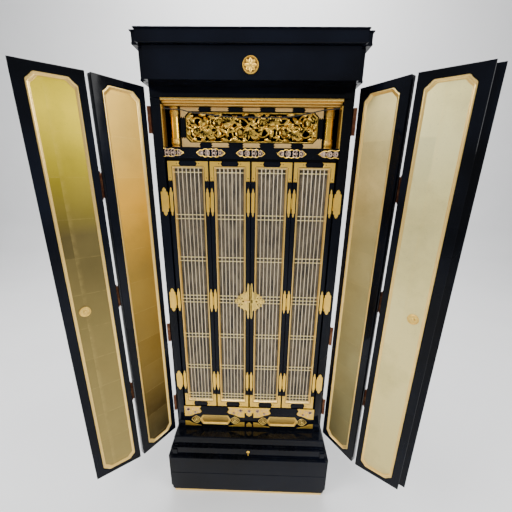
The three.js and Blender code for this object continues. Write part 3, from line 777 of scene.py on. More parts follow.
@dataclass(frozen=True)
class GiltMetal:
    """Gilded sheet metal with a chased ground, plain or rich."""

    name: str
    bright: Colour = (1.0, 0.62, 0.09)
    dull: Colour = (0.50, 0.24, 0.02)
    dots: float = 620.0
    lines: float = 75.0
    chased: float = 0.35
    rough: float = 0.32

    def make(self) -> Material:
        """Builds the material."""
        bench = Bench(self.name)
        graph = bench.graph
        chasing = bench.effect("chasing", Dots=self.dots, Lines=self.lines)
        blotches = bench.effect("tarnish", Scale=30.0)
        sunk = graph.sum("SUBTRACT", 1.0, chasing.outputs["Height"])
        dark = graph.plus(graph.times(sunk, self.chased),
                          graph.times(blotches.outputs["Mask"], 0.22))
        bench.set(Base_Color=graph.mix(dark, self.bright, self.dull), Metallic=0.85,
                  Roughness=graph.between(dark, 0.0, 1.0, self.rough, 0.5))
        bench.bump(chasing.outputs["Height"], self.chased, 0.0006)
        return bench.material


WAVE_TURN = 6.283  # a wave texture's scale is its waves in a metre over this


@dataclass(frozen=True)
class Gauze:
    """Sheer woven gauze, a grey tan, with soft bands where the weave moves."""

    name: str = "gauze"
    thread: Colour = (0.20, 0.165, 0.11)
    shade: Colour = (0.055, 0.046, 0.032)
    threads: float = 900.0

    def make(self) -> Material:
        """Builds the material."""
        bench = Bench(self.name)
        graph = bench.graph
        waves = []
        for axis in ("X", "Z"):  # the warp, then the weft
            inputs = {"Vector": bench.vector, "Scale": self.threads / WAVE_TURN, "Distortion": 0.6,
                      "Detail": 1.0}
            wave = graph.add("TexWave", inputs, bands_direction=axis)
            waves.append(wave.outputs["Fac"])
        weave = graph.times(waves[0], waves[1])
        stretched = graph.add("Mapping", {"Vector": bench.vector, "Scale": (55.0, 55.0, 16.0)}).outputs[0]
        band = graph.between(graph.noise(stretched, 1.0, 3.0), 0.35, 0.68)
        bench.set(Base_Color=graph.mix(band, self.shade, self.thread), Roughness=0.8,
                  Alpha=graph.between(weave, 0.0, 0.6, 0.7, 1.0), Sheen_Weight=0.25)
        bench.bump(weave, 0.3, 0.0004)
        return bench.material


@dataclass(frozen=True)
class Bronze:
    """Browned hinge metal, rubbed lighter in blotches."""

    name: str = "browned hinge metal"
    brown: Colour = (0.11, 0.035, 0.016)
    rubbed: Colour = (0.30, 0.14, 0.06)

    def make(self) -> Material:
        """Builds the material."""
        bench = Bench(self.name)
        graph = bench.graph
        blotches = bench.effect("tarnish", Scale=60.0)
        bench.set(Base_Color=graph.mix(blotches.outputs["Mask"], self.brown, self.rubbed), Metallic=0.85,
                  Roughness=graph.between(blotches.outputs["Mask"], 0.0, 1.0, 0.42, 0.28))
        bench.bump(graph.noise(bench.vector, 500.0, 2.0), 0.15, 0.0004)
        return bench.material


@dataclass(frozen=True)
class TwistedCord:
    """Dull dark cord of twisted strands."""

    name: str = "twisted cord"
    strand: Colour = (0.03, 0.032, 0.028)
    groove_shade: Colour = (0.006, 0.006, 0.006)

    def make(self) -> Material:
        """Builds the material."""
        bench = Bench(self.name)
        graph = bench.graph
        leaning = graph.add("Mapping", {"Vector": bench.vector, "Rotation": (0.0, 0.7, 0.0)}).outputs[0]
        # The dark colour in the grooves between strands is painted shade.
        wave = graph.add("TexWave", {"Vector": leaning, "Scale": 110.0, "Distortion": 0.4}).outputs["Fac"]
        bench.set(Base_Color=graph.mix(wave, self.groove_shade, self.strand), Roughness=0.75, Sheen_Weight=0.2)
        bench.bump(wave, 0.5, 0.0006)
        return bench.material


@dataclass(frozen=True)
class StudioFloor:
    """A pale matt floor."""

    name: str = "pale floor"
    tone: Colour = (0.80, 0.80, 0.80)
    darker: float = 0.97

    def make(self) -> Material:
        """Builds the material."""
        bench = Bench(self.name)
        fleck = bench.graph.between(bench.graph.noise(bench.vector, 2.0), 0.3, 0.7)
        shade = tuple(self.darker * c for c in self.tone)
        bench.set(Base_Color=bench.graph.mix(fleck, self.tone, shade), Roughness=0.7)
        return bench.material


def made_of(kind: type, *names: str, **looks: float | Colour) -> Material:
    """A field for a finish of one kind, made with the looks given here."""
    return field(default_factory=lambda: kind(*names, **looks).make())


@dataclass
class Finishes:
    """Every finish, made once."""

    lacquer: Material = made_of(Lacquer)
    bead: Material = made_of(GiltMetal, "gilt bead", bright=(1.0, 0.70, 0.22), dull=(0.55, 0.28, 0.04),
                             chased=0.08, rough=0.28)
    peach: Material = made_of(GiltMetal, "peach gilt", bright=(1.0, 0.66, 0.24), dull=(0.55, 0.25, 0.05),
                              chased=0.12, rough=0.42)
    fitting: Material = made_of(GiltMetal, "gilt fitting", chased=0.10)
    rich: Material = made_of(GiltMetal, "chased gilt", bright=(1.0, 0.60, 0.10), dull=(0.28, 0.12, 0.015),
                             chased=0.6, lines=110.0)
    rosy: Material = made_of(GiltMetal, "rosy gilt", bright=(1.0, 0.72, 0.55), dull=(0.45, 0.22, 0.12),
                             chased=0.3, lines=130.0)
    lattice: Material = made_of(GiltMetal, "dull gilt uprights", bright=(0.90, 0.74, 0.50),
                                dull=(0.36, 0.27, 0.16), chased=0.05, rough=0.4)
    slats: Material = made_of(GiltMetal, "pale gilt slats", bright=(1.0, 0.84, 0.40), dull=(0.6, 0.44, 0.14),
                              chased=0.05, rough=0.3)
    pale: Material = made_of(GiltMetal, "pale chased gilt", bright=(1.0, 0.70, 0.16), dull=(0.45, 0.22, 0.03),
                             chased=0.3, lines=160.0)
    punched: Material = made_of(GiltMetal, "punched dark ground", bright=(0.30, 0.17, 0.05),
                                dull=(0.03, 0.018, 0.008), chased=0.8, rough=0.4)
    bronze: Material = made_of(Bronze)
    gauze: Material = made_of(Gauze)
    cord: Material = made_of(TwistedCord)


# ---- the frame's facts ----
def span(node: str) -> tuple[Vector, Vector]:
    """A node's lowest and highest corners."""
    low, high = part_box(node)
    return Vector(low), Vector(high)


def joint(name: str) -> dict:
    """A joint of the frame by its name."""
    return next(entry for entry in frame["joints"] if entry["name"] == name)


def swung(name: str, pin: Vector) -> Matrix:
    """The turn that takes a leaf from shut to where it stands."""
    facts = joint(name)
    opened = math.radians(-facts["range_deg"][0])
    turn = Matrix.Rotation(opened, 4, Vector(facts["axis"]))
    return Matrix.Translation(pin) @ turn @ Matrix.Translation(-pin)


# ---- the case ----
@dataclass
class Carcass:
    """The lacquered case, its base and crown, and the gilt mouldings in its mouth."""

    finishes: Finishes
    lacquered: tuple[str, ...] = (
        "plinth", "drawer_case", "drawer", "base_slab", "sill", "back_panel", "floor_board",
        "ceiling_board", "lintel", "frieze", "crown", "rail", "side_panel_left",
        "side_panel_right", "transom_frame", "closing_lip")
    cove_steps: int = 3
    cove_tread: float = 0.010
    cove_rise: float = 0.0053
    cove_bead: float = 0.0015
    cove_in: float = 0.0005
    cove_down: float = 0.0034
    cove_end: float = 0.001

    def build(self) -> None:
        """Dresses the carried-over nodes and lays a bead along each step of the cove."""
        paint(self.finishes.lacquer, *self.lacquered)
        paint(self.finishes.bead, "gilt_foot_band")
        # The cove and the reveals darken towards the back: painted shade under the crown and inside the
        # opening.
        cove = CarvedLeaf("gilt cove", crest=(0.95, 0.58, 0.11), shaded_hollow=(0.20, 0.10, 0.015),
                          front=span("gilt_cove")[0].y, depth=0.03).make()
        paint(cove, "gilt_cove", "gilt_reveal_left", "gilt_reveal_right")
        low, high = span("gilt_cove")
        beads = []
        for k in range(self.cove_steps):
            y = low.y + self.cove_in + self.cove_tread * k
            z = high.z - self.cove_down - self.cove_rise * k
            xs = (low.x + self.cove_end, 0.0, high.x - self.cove_end)
            beads.append(rod("bead", [(x, y, z) for x in xs], self.cove_bead))
        deliver(joined("cove_beads", beads), "cabinet", Slot.LEAF, self.finishes.bead, smooth=60)
        paint(self.finishes.bronze, *[name for name in frame["nodes"] if name.startswith("door_bracket")])
        paint(self.finishes.gauze, *[f"gauze_{k + 1}" for k in range(INNER_LEAVES)])


ACROSS = (-1, -0.5, 0, 0.5, 1)


@dataclass
class Medallion:
    """The round boss on the frieze: a beaded rim, a sunk ground and a flower with leaves."""

    finishes: Finishes
    fill: float = 0.94
    petals: int = 8
    beads: int = 36
    sides: int = 48
    rim: float = 0.0022
    floor: float = 0.0008

    def build(self) -> None:
        """Builds the boss."""
        low, high = span("frieze_medallion")
        x, _, z = (low + high) / 2
        radius = (high.x - low.x) / 2 * self.fill
        back = high.y
        thick = high.y - low.y
        inner, lip = radius - self.rim, thick * 0.8
        dish = stud("medallion_dish", [(0, 0), (radius, 0), (radius, thick * 0.6), (radius - 0.001, lip),
                                       (inner, lip), (inner - 0.001, self.floor), (0, self.floor)],
                    (x, back, z), self.sides)
        ground = stud("medallion_ground", [(0, 0.0006), (inner - 0.0012, 0.0006), (inner - 0.0016, 0.0012),
                                           (0, 0.0012)], (x, back, z), self.sides)
        deliver(ground, "cabinet", Slot.GILT, self.finishes.punched)
        pieces = [dish]
        bead = stud("bead", [(0, 0), (0.0011, 0), (0.0008, 0.0008), (0, 0.0011)], (0, 0, 0), 8)
        reach = radius - self.rim * 0.55
        for i, (c, s) in enumerate(around(self.beads)):
            where = (x + reach * c, back - thick * 0.78, z + reach * s)
            pieces.append(copy_of(bead, f"bead_{i}", Matrix.Translation(where)))
        petal = self.petal(radius)
        for i in range(self.petals):
            turn = Matrix.Rotation(math.tau * i / self.petals, 4, "Y")
            move = Matrix.Translation((x, back - 0.0012, z)) @ turn
            pieces.append(copy_of(petal, f"petal_{i}", move))
        eye = [(0, 0), (0.0042, 0), (0.004, 0.0026), (0.002, 0.0034), (0, 0.0034)]
        pieces.append(stud("eye", eye, (x, back - 0.001, z), 16))
        discard(bead, petal)
        deliver(joined("frieze_medallion_boss", pieces), "cabinet", Slot.GILT, self.finishes.fitting,
                "frieze_medallion")

    def petal(self, radius: float) -> Piece:
        """One cupped petal, pointing up from the origin."""
        rows, root, widest, dome = 6, 0.0038, 0.0042, 0.0016
        loops = []
        for row in range(rows):
            t = row / (rows - 1)
            reach = root + t * (radius - 0.0085)
            half = widest * math.sin(math.pi * (0.16 + 0.74 * t)) ** 0.8
            loops.append([(half * s, -dome * (1 - s * s) - 0.0004, reach) for s in ACROSS])
        petal = wrap("petal", loops, closed=False)
        apply_modifier(petal, "SOLIDIFY", thickness=0.0007)
        return petal


# ---- carving ----
@dataclass
class CarvingPatterns:
    """The leaf and the blossom that the carving and the mounts repeat."""

    def leaf(self, name: str = "leaf", length: float = 1.0, width: float = 0.5, lobes: int = 3) -> Piece:
        """A lobed leaf with a sunk midrib, from the origin towards +X, facing -Y."""
        across = (-1.0, -0.7, -0.35, -0.06, 0.06, 0.35, 0.7, 1.0)
        loops = []
        steps = 4 * lobes
        for i in range(steps + 1):
            t = i / steps
            bulk = math.sin(math.pi * min(0.06 + 0.94 * t, 1.0)) ** 0.75
            notch = 0.72 + 0.28 * abs(math.cos(math.pi * lobes * t))
            half = width / 2 * max(bulk * notch, 0.02)
            curl = -0.16 * length * math.sin(math.pi * t * 0.85)
            loop = []
            for s in across:
                dome = -0.11 * length * (1 - s * s) + (0.035 * length if abs(s) < 0.1 else 0.0)
                loop.append((t * length, curl + dome * bulk, half * s))
            loops.append(loop)
        piece = wrap(name, loops, closed=False)
        apply_modifier(piece, "SOLIDIFY", thickness=0.07 * length, offset=-1.0)
        return piece

    def blossom(self, name: str = "blossom", radius: float = 1.0, petals: int = 5) -> Piece:
        """A blossom of two whorls of cupped petals with a seeded eye, facing -Y."""
        pieces = []
        for whorl, (share, lift) in enumerate(((1.0, 0.0), (0.66, -0.26))):
            loops = []
            for row in range(5):
                t = row / 4
                reach = radius * share * (0.14 + 0.86 * t)
                half = radius * share * 0.52 * math.sin(math.pi * (0.14 + 0.70 * t)) ** 0.7
                rise = radius * (lift - 0.30 * t * t + 0.05)
                loops.append([(half * s, rise - radius * 0.16 * s * s * t, reach - 0.10 * radius * s * s)
                              for s in ACROSS])
            petal = wrap("petal", loops, closed=False)
            apply_modifier(petal, "SOLIDIFY", thickness=0.07 * radius)
            for i in range(petals):
                turn = Matrix.Rotation(math.tau * (i + 0.5 * whorl) / petals, 4, "Y")
                pieces.append(copy_of(petal, f"petal_{whorl}_{i}", turn))
            discard(petal)
        eye = [(0, 0), (0.2 * radius, 0), (0.17 * radius, 0.26 * radius), (0, 0.36 * radius)]
        pieces.append(stud("eye", eye, (0, 0, 0), 10))
        return joined(name, pieces)


def set_at(pattern: Piece, name: str, where: Sequence[float], size: float, turn: float,
           tip: float = 0.0, roll: float = 0.0) -> Piece:
    """A copy of a unit pattern, sized, turned in front view and tipped out of it.

    Args:
        pattern: The unit pattern at the origin.
        name: The copy's name.
        where: Its place.
        size: Its length or radius.
        turn: Radians from +X towards +Z.
        tip: Radians by which its far end leans forwards.
        roll: Radians about its own length.

    Returns:
        The copy.
    """
    move = (Matrix.Translation(where) @ Matrix.Rotation(-turn, 4, "Y") @ Matrix.Rotation(-tip, 4, "Z")
            @ Matrix.Rotation(roll, 4, "X") @ Matrix.Scale(size, 4))
    return copy_of(pattern, name, move)


@dataclass
class TransomCarving:
    """Openwork of a running vine with scrolls, leaves and blossoms, in a plain border."""

    finishes: Finishes
    patterns: CarvingPatterns
    turns: int = 6
    vine: float = 0.0032
    corner: float = 0.014
    margin: float = 0.0045
    fronds: int = 11
    plumes: int = 6

    def build(self) -> None:
        """Builds the carving, bay by bay."""
        self.low, self.high = span("transom_carving")
        self.front, self.back = self.low.y, self.high.y
        self.middle = (self.low.z + self.high.z) / 2
        self.reach = (self.high.z - self.low.z) / 2
        self.half = (self.high.x - self.low.x) / 2
        leaf = self.patterns.leaf(width=0.62)
        slim = self.patterns.leaf("slim", width=0.34, lobes=2)
        blossom = self.patterns.blossom()
        pieces = [self.border(), self.main_vine()]
        for i in range(self.turns):
            pieces += self.bay(i, leaf, slim, blossom)
        discard(leaf, slim, blossom)
        # Painted shade: the openwork browns the deeper it lies behind its front.
        finish = CarvedLeaf("carved transom gilding", front=self.front, depth=self.back - self.front,
                            crest=(1.0, 0.62, 0.10), shaded_hollow=(0.08, 0.036, 0.006), rough=0.2).make()
        deliver(joined("transom_openwork", pieces), "cabinet", Slot.LEAF, finish, "transom_carving",
                smooth=50)

    def vine_at(self, t: float) -> Point:
        """A point on the vine's wave, t from 0 to 1."""
        x = (2 * t - 1) * (self.half - 0.003)
        return x, self.middle + math.sin(math.pi * self.turns * t) * self.reach * 0.62

    def border(self) -> Piece:
        """The plain moulded border with cut corners."""
        front = self.front
        steps = ((0, self.back), (0, front + 0.006), (0.0012, front + 0.0045), (0.003, front + 0.0045),
                 (0.0042, front + 0.0065), (0.0042, self.back))
        return wrap("border", [at_depth(self.cut_outline(inset), y) for inset, y in steps], endless=True)

    def cut_outline(self, inset: float) -> list[Point]:
        """The opening's outline, its corners cut straight."""
        x, low, high = self.half - inset, self.low.z + inset, self.high.z - inset
        c = self.corner
        return [(-x + c, low), (x - c, low), (x, low + c), (x, high - c),
                (x - c, high), (-x + c, high), (-x, high - c), (-x, low + c)]

    def main_vine(self) -> Piece:
        """The stem that waves from end to end."""
        steps = 72
        y = self.front + 0.0075
        points = []
        for i in range(steps + 1):
            x, z = self.vine_at(i / steps)
            points.append((x, y + 0.002 * math.sin(i * 0.9), z))
        return rod("vine", points, self.vine, lambda t: 0.85 + 0.15 * math.sin(40 * t))

    def bay(self, i: int, leaf: Piece, slim: Piece, blossom: Piece) -> list[Piece]:
        """One bay of the vine: a scroll round a blossom, wrapped and filled with broad leaves."""
        x = ((i + 0.5) / self.turns * 2 - 1) * self.half
        up = -1 if i % 2 == 0 else 1
        z = self.middle + up * self.reach * 0.30
        y = self.front
        scroll = []
        steps = 22
        for step in range(steps + 1):
            t = step / steps
            angle = up * (math.pi * 0.5 + t * 1.45 * math.pi)
            r = 0.026 - 0.012 * t
            scroll.append((x + r * math.cos(angle) * 1.15, y + 0.0065 - 0.003 * t,
                           z + r * math.sin(angle) * 0.95))
        pieces = [rod("scroll", scroll, 0.0027, lambda t: 1.0 - 0.5 * t)]
        pieces.append(set_at(blossom, "flower", (x, y + 0.0052, z), 0.0165, 0.4 * i))
        for k in range(self.fronds):
            angle = k * math.tau / self.fronds + 0.41 * i
            reach = 0.0145 if k % 2 else 0.0185
            root = (x + reach * math.cos(angle), y + 0.0072 + 0.0016 * (k % 3),
                    z + reach * 0.9 * math.sin(angle))
            lean = angle + (0.85 if k % 2 else -0.6)
            pattern = slim if k % 4 == 3 else leaf
            pieces.append(set_at(pattern, "frond", root, 0.022 + 0.004 * ((k * 5 + i) % 3), lean,
                                 0.10 + 0.06 * (k % 3), 0.55 * (-1) ** (k + i)))
        away = self.middle - up * self.reach * 0.52
        for k, (dx, dz, lean, size) in enumerate((
                (-0.030, 0.004, 0.35, 0.034), (-0.010, -0.010, 2.75, 0.026), (0.006, -0.011, -0.35, 0.030),
                (0.030, 0.006, 2.5, 0.032), (-0.002, 0.016, 1.45, 0.028), (0.024, -0.008, 1.15, 0.026),
                (-0.026, -0.012, 0.9, 0.024), (0.014, 0.020, 0.25, 0.026), (-0.018, 0.022, 3.0, 0.026))):
            root = (x + dx, y + 0.0058 + 0.0012 * (k % 4), away + up * dz)
            pieces.append(set_at(leaf if k % 3 else slim, "broad", root, size, up * lean + 0.15 * (i % 3),
                                 0.12, 0.5 * (-1) ** k))
        root = (x + self.half / self.turns * 0.92, y + 0.0050, self.middle + up * self.reach * 0.12)
        for k in range(self.plumes):
            pieces.append(set_at(slim, "plume", root, 0.032 - 0.0018 * k, up * (2.6 - 0.42 * k), 0.08, 0.25))
        for piece in pieces:
            self.keep_inside(piece)
        return pieces

    def keep_inside(self, piece: Piece) -> None:
        """Draws a piece's points back inside the border and the solid's depth."""
        x, low, high = self.half - self.margin, self.low.z + self.margin, self.high.z - self.margin
        hold_depth(piece, self.front, self.back)
        for vertex in piece.data.vertices:
            co = vertex.co
            co.x = clamp(co.x, -x, x)
            co.z = clamp(co.z, low, high)
            over = abs(co.x) + abs(co.z - self.middle) - (x + (high - low) / 2 - self.corner)
            if over > 0:
                co.x -= math.copysign(over / 2, co.x)
                co.z -= math.copysign(over / 2, co.z - self.middle)


@dataclass
class TransomTrim:
    """Gilt corner plates and edge plates on the transom's frame, and its two columns."""

    finishes: Finishes
    plate_thick: float = 0.0006
    off_frame: float = 0.0001
    outer_margin: float = 0.0008
    corner_margin: float = 0.0012
    edge_margin: float = 0.0015
    edge_half: float = 0.0235
    edge_pitch: float = 0.097
    fork: float = 0.004
    fill: float = 0.985
    cap_share: float = 0.24
    sides: int = 32

    def build(self) -> None:
        """Builds the trim."""
        self.low, self.high = span("transom_frame")
        self.open_low, self.open_high = span("transom_carving")
        self.front = self.low.y - self.off_frame - self.plate_thick
        corners = [self.corner(sx, sz) for sx in BOTH_WAYS for sz in BOTH_WAYS]
        deliver(joined("transom_corner_plates", corners), "cabinet", Slot.GILT, self.finishes.peach)
        rails = ((self.open_high.z + self.edge_margin, self.high.z - self.outer_margin),
                 (self.low.z + self.outer_margin, self.open_low.z - self.edge_margin))
        bars = [self.edge_plate(self.edge_pitch * k, z0, z1) for z0, z1 in rails for k in (-1, 0, 1)]
        deliver(joined("transom_edge_plates", bars), "cabinet", Slot.GILT, self.finishes.peach)
        for side in Side:
            self.column(side)

    def edge_plate(self, x: float, z0: float, z1: float) -> Piece:
        """One plate between the corners, forked at both ends."""
        middle = (z0 + z1) / 2
        end = [(self.edge_half, z0), (self.edge_half + self.fork, (z0 + middle) / 2),
               (self.edge_half, middle),
               (self.edge_half + self.fork, (z1 + middle) / 2), (self.edge_half, z1)]
        outline = [(x + a, z) for a, z in end] + [(x - a, z) for a, z in reversed(end)]
        return plate("edge", outline, self.front, self.plate_thick)

    def corner(self, sx: int, sz: int) -> Piece:
        """One corner plate: it fills the frame's corner and ends in two fishtails."""
        low, high, open_low, open_high = self.low, self.high, self.open_low, self.open_high
        ox = high.x - self.outer_margin
        oz = (high.z if sz > 0 else low.z) - sz * self.outer_margin
        ix = open_high.x + self.corner_margin
        iz = (open_high.z if sz > 0 else open_low.z) + sz * self.corner_margin
        cut = 0.014
        down = oz - sz * 0.030
        along = ox - 0.058
        outline = [(ox, oz), (ox, down), (ox - 0.003, down + sz * 0.005), ((ox + ix) / 2, down),
                   (ix + 0.003, down + sz * 0.005), (ix, down), (ix, iz - sz * cut), (ix - cut, iz),
                   (along, iz), (along + self.fork, (iz + oz) / 2), (along, oz)]
        return plate("corner", [(sx * x, z) for x, z in outline], self.front, self.plate_thick, 0.0002)

    def column(self, side: Side) -> None:
        """A round gilt column with a chased band at either end."""
        name = side.name.lower()
        low, high = span(f"transom_column_{name}")
        centre = ((low.x + high.x) / 2, (low.y + high.y) / 2, low.z)
        radius = (high.y - low.y) / 2 * self.fill
        height = high.z - low.z
        cap = self.cap_share * height
        shaft = radius - 0.0018
        body = turned(f"column_{name}_shaft",
                      [(0, cap), (shaft, cap), (shaft, height - cap), (0, height - cap)],
                      centre, self.sides)
        # Painted shade: the shaft darkens towards its flanks as they turn back from the front.
        gold = CarvedLeaf(f"column gilding {name}", crest=(1.0, 0.58, 0.05), shaded_hollow=(0.5, 0.22, 0.02),
                          front=low.y, depth=0.03, rough=0.16).make()
        deliver(body, "cabinet", Slot.LEAF, gold, f"transom_column_{name}")
        rings = [(0, 0), (radius, 0), (radius, 0.003), (radius - 0.0008, 0.0036), (radius - 0.0026, 0.0056),
                 (radius - 0.0006, cap * 0.36), (radius - 0.0003, cap * 0.5), (radius - 0.0006, cap * 0.62),
                 (radius - 0.0016, cap * 0.86), (radius - 0.0008, cap * 0.92), (radius - 0.0008, cap),
                 (0, cap)]
        foot = turned("cap", rings, centre, self.sides)
        head = turned("cap", [(r, height - z) for r, z in rings], centre, self.sides)
        deliver(joined(f"column_{name}_caps", [foot, head]), "cabinet", Slot.GILT, self.finishes.rich,
                smooth=30)


@dataclass
class Mounts:
    """The openwork mounts on the rail, each a lobed frame filled with scrolls and a flower."""

    finishes: Finishes
    patterns: CarvingPatterns
    band: float = 0.0017
    wire: float = 0.0012
    off_rail: float = 0.0006

    def build(self) -> None:
        """Builds the five mounts."""
        self.leaf = self.patterns.leaf("mount_leaf", width=0.55, lobes=2)
        self.flower = self.patterns.blossom("mount_flower")
        for name in ("left", "middle", "right"):
            low, high = span(f"rail_mount_{name}")
            middle, reach = (low.x + high.x) / 2, (high.x - low.x) / 2
            self.fix(name, [self.half(middle, s * reach, low, high, 2) for s in BOTH_WAYS])
        for name, s in (("left_end", 1), ("right_end", -1)):
            low, high = span(f"rail_mount_{name}")
            root = low.x if s > 0 else high.x
            self.fix(name, [self.half(root, s * (high.x - low.x), low, high, 3)])
        discard(self.leaf, self.flower)

    def fix(self, name: str, halves: Sequence[tuple[Piece, Piece]]) -> None:
        """Joins a mount's halves into a bright rim and the rosy scrolls inside it."""
        rim = joined(f"rail_mount_rim_{name}", [half[0] for half in halves])
        deliver(rim, "cabinet", Slot.GILT, self.finishes.fitting, f"rail_mount_{name}", smooth=50)
        scrolls = joined(f"rail_mount_scrolls_{name}", [half[1] for half in halves])
        deliver(scrolls, "cabinet", Slot.GILT, self.finishes.rosy, smooth=50)

    def half(self, root: float, reach: float, low: Vector, high: Vector,
             scrolls: int) -> tuple[Piece, Piece]:
        """Half a mount, from its root at x to its pointed end.

        Args:
            root: The x where it starts.
            reach: How far it goes, negative to the left.
            low: The mount's lowest corner.
            high: Its highest corner.
            scrolls: How many scrolls fill it.

        Returns:
            The half's rim and its scrolls.
        """
        level = (low.z + high.z) / 2
        tall = (high.z - low.z) / 2
        back, front = high.y, low.y
        shape = [(0.0, 1.0), (0.1, 0.84), (0.22, 0.78), (0.32, 0.92), (0.42, 0.96), (0.52, 0.8), (0.58, 0.62),
                 (0.68, 0.72), (0.78, 0.66), (0.9, 0.34), (1.0, 0.0)]
        edge = [(root + a * reach, b * tall) for a, b in shape]
        pieces, rims = [], []
        for sz in BOTH_WAYS:
            rim = [(x, back - self.off_rail, level + sz * max(h - self.band / 2, 0)) for x, h in edge]
            rims.append(rod("rim", rim, self.band / 2 * 1.3, sides=1))
        for k in range(scrolls):
            share = (k + 0.55) / (scrolls + 0.35)
            x = root + reach * share
            size = tall * (0.62 if k < scrolls - 1 else 0.46)
            for sz in BOTH_WAYS:
                centre = (x, level + sz * tall * 0.22)
                curl = spiral(centre, sz * 0.6 + (0 if reach > 0 else math.pi), sz * 1.1, size, size * 0.2,
                              back - 0.0009, 16)
                pieces.append(rod("curl", curl, self.wire, lambda t: 1.0 - 0.35 * t, sides=1))
                turn = sz * 0.9 if reach > 0 else math.pi - sz * 0.9
                pieces.append(set_at(self.leaf, "sprig", (x, back - 0.0007, level), tall * 0.72, turn))
            knop = (x + reach * 0.11, back - self.off_rail, level)
            pieces.append(set_at(self.flower, "knop", knop, tall * 0.3, k))
        made = joined("rim", rims), joined("scrolls", pieces)
        for piece in made:
            hold_depth(piece, front, back)
        return made


